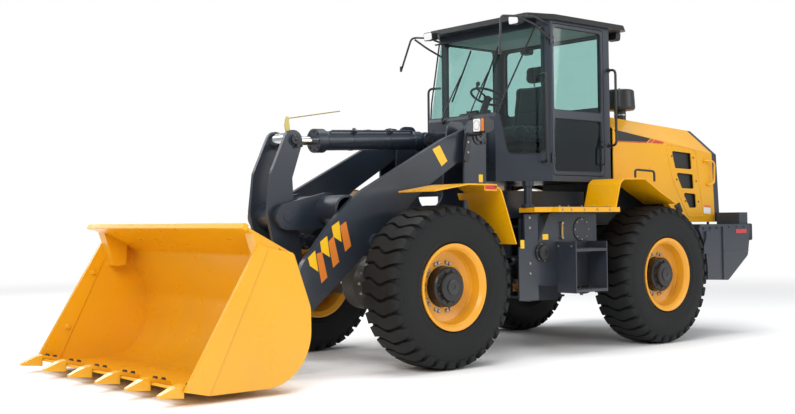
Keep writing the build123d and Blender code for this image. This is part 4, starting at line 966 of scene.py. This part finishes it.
# ------------------------------------------------------------------ Driver's seat
# Air-sprung seat: moulded foam pads under woven cloth with sewn channels, on a scissor base inside
# a rubber bellows. The pads are blown up by a short cloth run, then the seams are drawn in.
def stuffed(name, matrix, width, length, depth, seams, swell=0.018):
    """Pad swollen over a base block; seams are lines drawn in across it, as (axis, place) pairs."""
    bm = bmesh.new()
    slack = swell * 0.7
    outline = rounded_outline(width - 2 * slack, length - 2 * slack, 0.05)
    extruded(bm, matrix @ Matrix.Translation((0, 0, slack)), outline, depth - 2 * slack)
    bmesh.ops.recalc_face_normals(bm, faces=bm.faces)
    block = bpy.data.meshes.new(name)
    bm.to_mesh(block)
    bm.free()
    piece = bpy.data.objects.new(name, block)
    bpy.context.scene.collection.objects.link(piece)
    skin = piece.modifiers.new("skin", "REMESH")
    skin.mode = "VOXEL"
    skin.voxel_size = 0.006
    still = bpy.data.meshes.new_from_object(piece.evaluated_get(bpy.context.evaluated_depsgraph_get()))
    piece.modifiers.clear()
    piece.data = still
    cloth = piece.modifiers.new("air", "CLOTH")
    cloth.settings.use_pressure = True
    cloth.settings.uniform_pressure_force = 4
    cloth.settings.effector_weights.gravity = 0
    for step in range(1, 21):
        bpy.context.scene.frame_set(step)
    blown = bpy.data.meshes.new_from_object(piece.evaluated_get(bpy.context.evaluated_depsgraph_get()))
    piece.modifiers.clear()
    bpy.context.scene.frame_set(1)
    for before, after in zip(still.vertices, blown.vertices):
        move = after.co - before.co
        before.co += move.normalized() * min(move.length, swell)
    back = matrix.inverted()
    for point in still.vertices:
        local = back @ point.co
        for axis, place in seams:
            off = abs(local[axis] - place)
            if off < 0.012 and local.z > depth * 0.4:
                local.z -= 0.007 * (1 - off / 0.012) ** 0.5
        point.co = matrix @ local
    still.shade_smooth()
    still.materials.append(seat_cloth)
    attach(piece, "rear_frame")
    return piece


seat_cloth = soft_cloth("seat_cloth", "#1E2023", "#34373B")
cushion = stuffed(
    "seat_cushion", facing(at(-0.555, 0, 2.035), (0.04, 0, 1), up=(1, 0, 0)), 0.5, 0.49, 0.125,
    [(0, -0.15), (0, 0.15), (1, 0.02)],
)
stuffed(
    "seat_backrest", facing(at(-0.80, 0, 2.36), (0.985, 0, 0.16), up=(0, 0, 1)), 0.49, 0.48, 0.105,
    [(0, -0.145), (0, 0.145), (1, -0.06)],
)
stuffed(
    "seat_headrest", facing(at(-0.85, 0, 2.712), (0.99, 0, 0.1), up=(0, 0, 1)), 0.25, 0.18, 0.08,
    [(0, 0.0)], 0.012,
)
base = bmesh.new()
for i in range(7):
    wide = 0.36 if i % 2 else 0.32
    extruded(
        base, Matrix.Translation(at(-0.56, 0, 1.72 + 0.04 * i)), rounded_outline(wide, wide, 0.05), 0.04,
    )
extruded(base, Matrix.Translation(at(-0.56, 0, 1.631)), rounded_outline(0.36, 0.36, 0.03), 0.09)
extruded(base, Matrix.Translation(at(-0.56, 0, 1.998)), rounded_outline(0.42, 0.42, 0.04), 0.024)
for sign in SIDES.values():
    swept(base, points([(-0.84, 0.05, 2.60), (-0.825, 0.05, 2.66)], sign), 0.007, sides=8)
    swept(
        base, points([(-0.80, 0.235, 2.10), (-0.81, 0.235, 2.06), (-0.72, 0.235, 2.03)], sign), 0.012,
        bend=0.02, sides=8,
    )
settle("seat_suspension", base, seal_rubber, "rear_frame", corner=0.004)
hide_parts("seat")

# ------------------------------------------------------------------ Steering column and dashboard
# Moulded console with a hooded instrument panel, a tilting column in a rubber boot, a three-spoke
# wheel in soft grip, two pedals, and two levers with round knobs on a side console.
trim = bmesh.new()
console = [
    (0.022, 1.632), (0.022, 2.10), (-0.02, 2.14), (-0.02, 2.16), (0.09, 2.186), (0.168, 2.186),
    (0.168, 1.632),
]
side_plate(trim, console, -0.178, 0.356)
panel(trim, at(0.135, 0, 2.186), (-0.35, 0, 1), 0.30, 0.09, 0.07, radius=0.02, up=(1, 0, 0))
for sign in (-1, 1):
    panel(
        trim, at(-0.06, sign * 0.13 - 0.02, 1.68), (-0.5, 0, 0.85), 0.075, 0.16, 0.016, radius=0.012,
        up=(1, 0, 0.5),
    )
    swept(trim, [at(0.03, sign * 0.13 - 0.02, 1.70), at(-0.05, sign * 0.13 - 0.02, 1.685)], 0.01, sides=8)
dash = settle("dashboard", trim, black_plastic, "rear_frame", corner=0.004)
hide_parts("steering_column")
screen = bmesh.new()
panel(screen, at(0.098, 0, 2.262), (-0.82, 0, 0.57), 0.17, 0.065, 0.003, radius=0.006, up=(0.57, 0, 0.82))
settle(
    "instrument_panel", screen, lens("smoked_cover", "#202A33", glow=0.0, fine=30.0), "rear_frame",
)
column = bmesh.new()
lean = Vector((-0.45, 0, 1)).normalized()
foot = at(0.025, 0, 2.15)
turned(column, facing(foot, lean), [
    (0.062, -0.02), (0.062, 0.02), (0.052, 0.03), (0.057, 0.045), (0.046, 0.058), (0.05, 0.072),
    (0.036, 0.09),
    (0.034, 0.288), (0, 0.288),
], 28)
grip = bmesh.new()
wheel_at = facing(at(-0.105, 0, 2.43), lean, up=(1, 0, 0.3))
WHEEL_R = 0.178
rings = []
for i in range(48):
    turn = 2 * math.pi * i / 48
    out = Vector((math.cos(turn), math.sin(turn), 0))
    thick = 0.0125 - 0.0012 * (i % 2)
    turns = [2 * math.pi * j / 10 for j in range(10)]
    section = [(thick * math.cos(a), thick * math.sin(a)) for a in turns]
    rings.append([
        grip.verts.new(wheel_at @ (out * (WHEEL_R + a) + Vector((0, 0, 0.013 + b)))) for a, b in section
    ])
for a, b in zip(rings, rings[1:] + rings[:1]):
    for j in range(10):
        grip.faces.new((a[j], a[(j + 1) % 10], b[(j + 1) % 10], b[j]))
for turn in (90, 205, 335):
    out = Vector((math.cos(math.radians(turn)), math.sin(math.radians(turn)), 0))
    hub_end = wheel_at @ (out * 0.03 + Vector((0, 0, -0.002)))
    rim_end = wheel_at @ (out * WHEEL_R + Vector((0, 0, 0.012)))
    swept(grip, [hub_end, rim_end], 0.009, sides=8)
turned(grip, wheel_at, [(0.042, -0.016), (0.042, 0.004), (0.03, 0.012), (0, 0.012)], 24)
turned(
    grip, facing(wheel_at @ Vector((0, WHEEL_R, 0.024)), lean),
    [(0.012, 0), (0.012, 0.02), (0.021, 0.03), (0.021, 0.05), (0.012, 0.06), (0, 0.06)],
)
settle(
    "steering_wheel", grip, moulded("soft_grip", "#141517", grain=0.8, rough=0.55), "rear_frame",
    crease=60,
)
settle("column_boot", column, seal_rubber, "rear_frame")
levers = bmesh.new()
side_console = [(-0.70, 1.632), (-0.70, 2.20), (-0.42, 2.235), (-0.31, 2.2), (-0.31, 1.632)]
side_plate(levers, side_console, -0.45, 0.13)
for x in (-0.42, -0.52):
    swept(levers, [at(x, -0.385, 2.2), at(x + 0.02, -0.385, 2.33)], 0.007, sides=8)
    turned(
        levers, facing(at(x + 0.02, -0.385, 2.33), (0.15, 0, 1)),
        [(0.012, -0.012), (0.023, 0.004), (0.024, 0.022), (0.016, 0.036), (0, 0.04)],
    )
settle("side_console_and_levers", levers, black_plastic, "rear_frame", corner=0.003)

# ------------------------------------------------------------------ Engine hood
# Pressed sheet hood, with bolted side panels inside a raised bead, a black latch, tube handles and
# perforated screens behind its side openings. The graphics are plain cut vinyl.
def perforated(name, code):
    """Painted sheet punched with 5 mm holes at 8 mm pitch; the holes are drawn near black, as painted shade
    of the dark space behind the sheet.
    """
    material, tree = new_tree(name)
    place = add_node(tree, "ShaderNodeTexCoord")
    cells = add_node(
        tree, "ShaderNodeTexVoronoi",
        {"Vector": place.outputs["Object"], "Scale": 125.0, "Randomness": 0.0},
    )
    # holes drawn near black: painted shade of the dark space behind the sheet, not cut openings
    painted_hole_shade = spread(tree, cells.outputs["Distance"], 0.0, 1.0, 0.3, 0.36)
    surfaced(tree, between(tree, painted_hole_shade, "#050506", code), 0.55)
    return material


punched = perforated("perforated_sheet", "#1B1D1F")
black_vinyl = vinyl("black_vinyl", "#141517")
red_vinyl = vinyl("red_vinyl", "#C0392B")
white_vinyl = vinyl("white_vinyl", "#E8EAEA")
HOOD_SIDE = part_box("engine_hood")[1].y
beads, hood_bolts, latches, hood_handles, blacks, red_marks, whites, oranges, screens = forms(9)
RED_BARS = [
    [(-1.173, 2.003), (-1.645, 2.01), (-1.645, 2.0), (-1.173, 1.993)],
    [(-1.724, 2.047), (-1.775, 2.041), (-1.709, 2.003), (-1.66, 2.006)],
    [(-1.79, 2.039), (-1.94, 2.022), (-1.912, 2.003), (-1.728, 2.003)],
]
BEAD_PATH = [
    (-1.955, 2.005), (-2.40, 1.975), (-2.486, 1.955), (-2.611, 1.243), (-2.339, 1.243), (-2.086, 1.612),
]
for sign in SIDES.values():
    y = sign * HOOD_SIDE
    out = (0, sign, 0)
    ring = [at(x, y, z) for x, z in BEAD_PATH]
    start = (ring[-1] + ring[0]) / 2
    swept(beads, [start, *ring, start], 0.0045, bend=0.04, sides=8)
    for x, z in (
        (-2.066, 1.88), (-2.445, 1.874), (-2.145, 1.634), (-2.493, 1.624), (-2.294, 1.408), (-2.525, 1.404),
    ):
        hex_bolt(hood_bolts, at(x, y, z), out, 0.014)
    side_plate(
        latches, [(-2.092, 1.358), (-2.175, 1.393), (-2.231, 1.305), (-2.182, 1.253)], y, sign * 0.012,
    )
    panel(latches, at(-2.168, y + sign * 0.012, 1.33), out, 0.06, 0.03, 0.008, radius=0.008)
    swept(hood_handles, [
        at(-2.634, y, 1.845), at(-2.634, y + sign * 0.045, 1.845), at(-2.743, y + sign * 0.045, 1.842),
        at(-2.775, y + sign * 0.045, 1.815), at(-2.76, y + sign * 0.045, 1.61),
        at(-2.685, y + sign * 0.045, 1.586),
        at(-2.685, y, 1.586),
    ], 0.01, bend=0.022)
    side_plate(
        blacks, [(-1.124, 2.116), (-1.709, 2.049), (-1.645, 2.012), (-1.173, 2.005)], y, sign * 0.0015,
    )
    for rows in RED_BARS:
        side_plate(red_marks, rows, y, sign * 0.0015)
    side_plate(
        whites, [(-2.625, 1.368), (-2.749, 1.36), (-2.745, 1.269), (-2.622, 1.278)], y, sign * 0.0015,
    )
    side_plate(
        oranges, [(-2.6255, 1.369), (-2.7495, 1.361), (-2.7485, 1.338), (-2.6245, 1.346)], y, sign * 0.0025,
    )
    side_plate(
        screens, [(-2.03, 1.955), (-2.46, 1.935), (-2.53, 1.32), (-2.33, 1.32)], sign * 0.715, sign * 0.003,
    )
panel(screens, at(-2.772, 0, 1.60), (-1, 0, 0), 0.90, 0.54, 0.004, radius=0.01)
settle("hood_panel_beads", beads, chrome_yellow, "engine_hood")
settle("hood_bolts", hood_bolts, satin_black, "engine_hood")
settle("hood_latches", latches, black_plastic, "engine_hood", corner=0.002)
settle("hood_handles", hood_handles, chrome_yellow, "engine_hood")
settle("hood_black_graphics", blacks, black_vinyl, "engine_hood")
settle("hood_red_graphics", red_marks, red_vinyl, "engine_hood")
settle("hood_blank_plates", whites, white_vinyl, "engine_hood")
settle("hood_plate_headers", oranges, vinyl("orange_vinyl", "#E2701C"), "engine_hood")
settle("hood_screens", screens, punched, "engine_hood")

# ------------------------------------------------------------------ Precleaner
# Black spin-moulded dust bowl on the air intake: a plated clamp band holds it to the neck, and a
# round nut closes the lid.
bowl_low, bowl_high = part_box("precleaner")
bowl_axis = Vector(((bowl_low.x + bowl_high.x) / 2, (bowl_low.y + bowl_high.y) / 2, 0))
clamps = bmesh.new()
turned(clamps, facing(bowl_axis + Vector((0, 0, 2.318)), (0, 0, 1)), [
    (0.0625, 0), (0.0655, 0), (0.0655, 0.014), (0.0625, 0.014),
], 36)
hex_bolt(clamps, bowl_axis + Vector((0.05, 0.05, 2.325)), (1, -1, 0), 0.012)
turned(
    clamps, facing(bowl_axis + Vector((0, 0, bowl_high.z - 0.002)), (0, 0, 1)),
    [(0.014, 0), (0.014, 0.008), (0.007, 0.01), (0, 0.01)], 12,
)
settle("precleaner_clamp", clamps, zinc, "engine_hood")

# ------------------------------------------------------------------ Front frame and headlights
# Upright plates welded to a box: pins with a keeper plate and one bolt each, a yellow label, and
# headlights in moulded shells with a clear lens inboard and an amber turn lens outboard.
def pin_end(bm, spot, sign, radius, keeper=True):
    """Domed end of a greased pin, with its nipple and a bolted keeper plate."""
    out = (0, sign, 0)
    turned(bm, facing(spot, out), [
        (radius, 0), (radius, 0.006), (radius - 0.004, 0.01), (0.011, 0.01), (0.009, 0.018),
        (0.005, 0.022), (0, 0.022),
    ], 32)
    if keeper:
        panel(
            bm, spot + Vector((-radius * 0.9, sign * 0.004, -radius * 0.9)), out, 0.07, 0.03, 0.01,
            radius=0.008, up=(1, 0, 1),
        )
        hex_bolt(bm, spot + Vector((-radius * 1.25, sign * 0.013, -radius * 1.25)), out, 0.019)


HEADLIGHT_Z = 2.057
HEAD_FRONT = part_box("headlights")[1].x
LIFT_BASE = (0.42, 0.95)
tower_pins, lamp_clears, lamp_ambers, lamp_rims, tower_bolts, tower_labels = forms(6)
for sign in SIDES.values():
    pin_end(tower_pins, at(0.62, sign * 0.613, 1.98), sign, 0.045)
    pin_end(tower_pins, at(LIFT_BASE[0], sign * 0.521, LIFT_BASE[1]), sign, 0.04, keeper=False)
    for bm, y, wide in ((lamp_clears, 0.80, 0.086), (lamp_ambers, 0.872, 0.034)):
        panel(
            bm, Vector((HEAD_FRONT - 0.002, sign * y, HEADLIGHT_Z)), (1, 0, 0), wide, 0.112, 0.009,
            radius=0.012,
        )
    turned(lamp_rims, facing(Vector((HEAD_FRONT + 0.001, sign * 0.80, HEADLIGHT_Z)), (1, 0, 0)), [
        (0.041, 0), (0.041, 0.0075), (0.037, 0.0075), (0.037, 0),
    ], 32)
    for z in (1.83, 1.92):
        hex_bolt(tower_bolts, at(0.768, sign * 0.612, z), (0, sign, 0), 0.016)
    panel(tower_labels, at(0.60, sign * 0.6005, 1.60), (0, sign, 0), 0.05, 0.07, 0.0012)
settle("tower_pin_ends", tower_pins, satin_black, "front_frame", corner=0.001)
settle("headlight_clear_lenses", lamp_clears, clear_lens, "front_frame", corner=0.003)
settle("headlight_amber_lenses", lamp_ambers, amber_lens, "front_frame", corner=0.003)
settle(
    "headlight_rims", lamp_rims, plated("bright_trim", "#C6C8CA", "#DADCDD", 0.12, 0.25), "front_frame",
)
settle("headlight_bracket_bolts", tower_bolts, zinc, "front_frame")
settle("tower_labels", tower_labels, yellow_vinyl, "front_frame")

# ------------------------------------------------------------------ Boom
# Two thick arm plates and a cross tube, welded. Its graphics are plain yellow and orange bars of
# vinyl, and a blank label faces out near the foot.
ARM_SIDE = 0.54
BUCKET_PIN = (2.80, 0.30)
LIFT_EYE = (1.78, 1.04)
boom_yellows, boom_oranges, boom_pins = forms(3)
YELLOW_BARS = [
    [(2.483, 0.932), (2.414, 0.989), (2.381, 0.817), (2.464, 0.867)],
    [(2.363, 1.057), (2.293, 1.104), (2.264, 0.931), (2.348, 0.976)],
    [(2.246, 1.18), (2.17, 1.225), (2.145, 1.053), (2.226, 1.095)],
    [(1.133, 1.848), (1.047, 1.887), (0.955, 1.751), (1.025, 1.701)],
]
ORANGE_BARS = [
    [(2.4, 0.961), (2.344, 0.976), (2.291, 0.77), (2.351, 0.723)],
    [(2.279, 1.055), (2.226, 1.103), (2.17, 0.891), (2.232, 0.844)],
    [(2.16, 1.184), (2.098, 1.221), (2.045, 1.018), (2.108, 0.971)],
]
for sign in SIDES.values():
    for rows in ORANGE_BARS:
        side_plate(boom_oranges, rows, sign * ARM_SIDE, sign * 0.0008)
    for rows in YELLOW_BARS:
        side_plate(boom_yellows, rows, sign * ARM_SIDE, sign * 0.0014)
    pin_end(boom_pins, at(BUCKET_PIN[0], sign * (ARM_SIDE + 0.001), BUCKET_PIN[1]), sign, 0.045)
    pin_end(boom_pins, at(LIFT_EYE[0], sign * (ARM_SIDE + 0.001), LIFT_EYE[1]), sign, 0.04, keeper=False)
settle("boom_yellow_graphics", boom_yellows, yellow_vinyl, "boom")
settle("boom_orange_graphics", boom_oranges, vinyl("boom_orange_vinyl", "#DD7E2E"), "boom")
settle("boom_pin_ends", boom_pins, satin_black, "boom", corner=0.001)

# ------------------------------------------------------------------ Linkage
# Cast bellcrank between support plates, its upper pin with a keeper and a grease nipple. A thin
# zinc-plated rod beside the tilt cylinder shows the bucket's level to the driver.
CRANK_TOP = (2.34, 1.906)
link_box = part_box("bellcrank")
crank_pins = bmesh.new()
for sign in SIDES.values():
    pin_end(crank_pins, Vector((at(CRANK_TOP[0], 0, 0).x, sign * link_box[1].y, CRANK_TOP[1])), sign, 0.04)
settle("bellcrank_pin_ends", crank_pins, satin_black, "bellcrank", corner=0.001)
level_rod = bmesh.new()
LEVEL_Y = 0.075
side_plate(
    level_rod,
    [(2.325, 1.965), (2.375, 1.965), (2.39, 2.03), (2.375, 2.105), (2.345, 2.105), (2.335, 2.03)], LEVEL_Y,
    0.005,
)
side_plate(
    level_rod, [(2.335, 1.925), (2.365, 1.925), (2.365, 1.975), (2.335, 1.975)], LEVEL_Y - 0.012, 0.012,
)
swept(level_rod, [at(2.358, LEVEL_Y, 2.09), at(1.80, LEVEL_Y, 2.184)], 0.005, sides=8)
settle(
    "level_indicator", level_rod, plated("yellow_zinc", "#9A8B4E", "#C4B878"), "tilt_rod",
    corner=0.0008,
)

# ------------------------------------------------------------------ Cylinders
# Honed tubes with a forged head: a ring of gland bolts on the tilt cylinder, a weld bead at each
# end, and a painted steel pipe clamped along the tube from the head port back to the base.
def cylinder_fittings(name, base, run, y, tube, head, start, body, bolts=8):
    """Gland, beads and pipe along a tube that starts at base = (x, z), run being its unit direction."""
    origin = at(base[0], y, base[1])
    along = Vector((run[0], 0, run[1]))
    over = Vector((-run[1], 0, run[0]))
    ring = facing(origin, along, up=(0, 1, 0))
    steel = bmesh.new()
    for low, radius in ((start[0] + 0.02, tube), (start[1] - 0.012, tube)):
        turned(
            steel, ring @ Matrix.Translation((0, 0, low)),
            [(radius - 0.001, -0.008), (radius + 0.005, 0), (radius - 0.001, 0.008)], 36,
        )
    pipe = tube + 0.022
    lift = over * (pipe * 0.78) + Vector((0, pipe * 0.63, 0))
    near = origin + along * (start[0] + 0.05)
    far = origin + along * (start[1] - 0.05)
    swept(steel, [near + lift * 0.7, near + lift, far + lift, far + lift * 0.7], 0.0085, bend=0.025)
    for share in (0.3, 0.7):
        place = start[0] + (start[1] - start[0]) * share
        turned(steel, ring @ Matrix.Translation((0, 0, place)), [
            (tube - 0.001, -0.014), (tube + 0.004, -0.014), (tube + 0.004, 0.014), (tube - 0.001, 0.014),
        ], 36)
        panel(steel, origin + along * place + lift * 0.93, lift, 0.05, 0.03, 0.022, radius=0.006, up=along)
    settle(f"{name}_pipe_and_welds", steel, slate_navy, body)
    if not bolts:
        return
    caps = bmesh.new()
    for i in range(bolts):
        turn = 2 * math.pi * i / bolts
        circle = head * 0.78
        spot = ring @ Vector((circle * math.cos(turn), circle * math.sin(turn), start[1] + start[2]))
        hex_bolt(caps, spot, along, 0.016)
    settle(f"{name}_gland_bolts", caps, satin_black, body)


def heading(a, b):
    """Unit direction from one (x, z) to another."""
    run = Vector((b[0] - a[0], b[1] - a[1])).normalized()
    return run.x, run.y


TILT_BASE = (0.78, 1.972)
cylinder_fittings(
    "tilt_cylinder", TILT_BASE, heading(TILT_BASE, CRANK_TOP), 0, 0.085, 0.105, (0.12, 1.16, 0.09),
    "tilt_barrel",
)
for hand, sign in SIDES.items():
    cylinder_fittings(
        f"lift_cylinder_{hand}", LIFT_BASE, heading(LIFT_BASE, LIFT_EYE), sign * 0.42, 0.06, 0.06,
        (0.12, 1.1, 0.15),
        f"lift_barrel_{hand}", bolts=0,
    )

# ------------------------------------------------------------------ Bucket
# Rolled and welded plate bucket in the hood's enamel: two bolts hold the cutter on each side edge,
# and two plough bolts hold each tooth.
CUTTER_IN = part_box("bucket")[1].y - 0.034  # inner face of a side cutter
cutter_bolts = bmesh.new()
for sign in SIDES.values():
    for x, z in ((3.491, 0.80), (3.717, 0.353)):
        hex_bolt(cutter_bolts, at(x, sign * CUTTER_IN, z), (0, -sign, 0), 0.036)
settle("cutter_bolts", cutter_bolts, chrome_yellow, "bucket")
tooth_bolts = bmesh.new()
TOOTH_PITCH = 0.4624
for i in range(6):
    y = (i - 2.5) * TOOTH_PITCH
    for x, z in ((1.05, -0.1835), (1.115, -0.168)):
        hex_bolt(tooth_bolts, at(BUCKET_PIN[0] + x, y, BUCKET_PIN[1] + z), (-0.2, 0, 1), 0.03)
settle("tooth_bolts", tooth_bolts, satin_black, "bucket")

# ------------------------------------------------------------------ Rods and pins
# Piston rods in ground hard chrome, and the tilt cylinder's base pin in bare hardened steel under
# a film of grease.
def hard_chrome():
    """Hard chrome, ground round: its cast and gloss drift in clouds 17 mm wide."""
    material, tree = new_tree("hard_chrome")
    cloud = noise(tree, 60.0, 4.0)
    surfaced(
        tree, between(tree, cloud, "#C9CDD1", "#E4E6E8"), spread(tree, cloud, 0.07, 0.16),
        {"Metallic": 1.0},
    )
    return material


chrome = hard_chrome()
pin_steel = plated("greased_pin_steel", "#5E5D5A", "#8B8984", low=0.25, high=0.5)
dress(chrome, "tilt_rod", "lift_rod_left", "lift_rod_right", "steering_rod_left", "steering_rod_right")
dress(pin_steel, "tilt_pin")
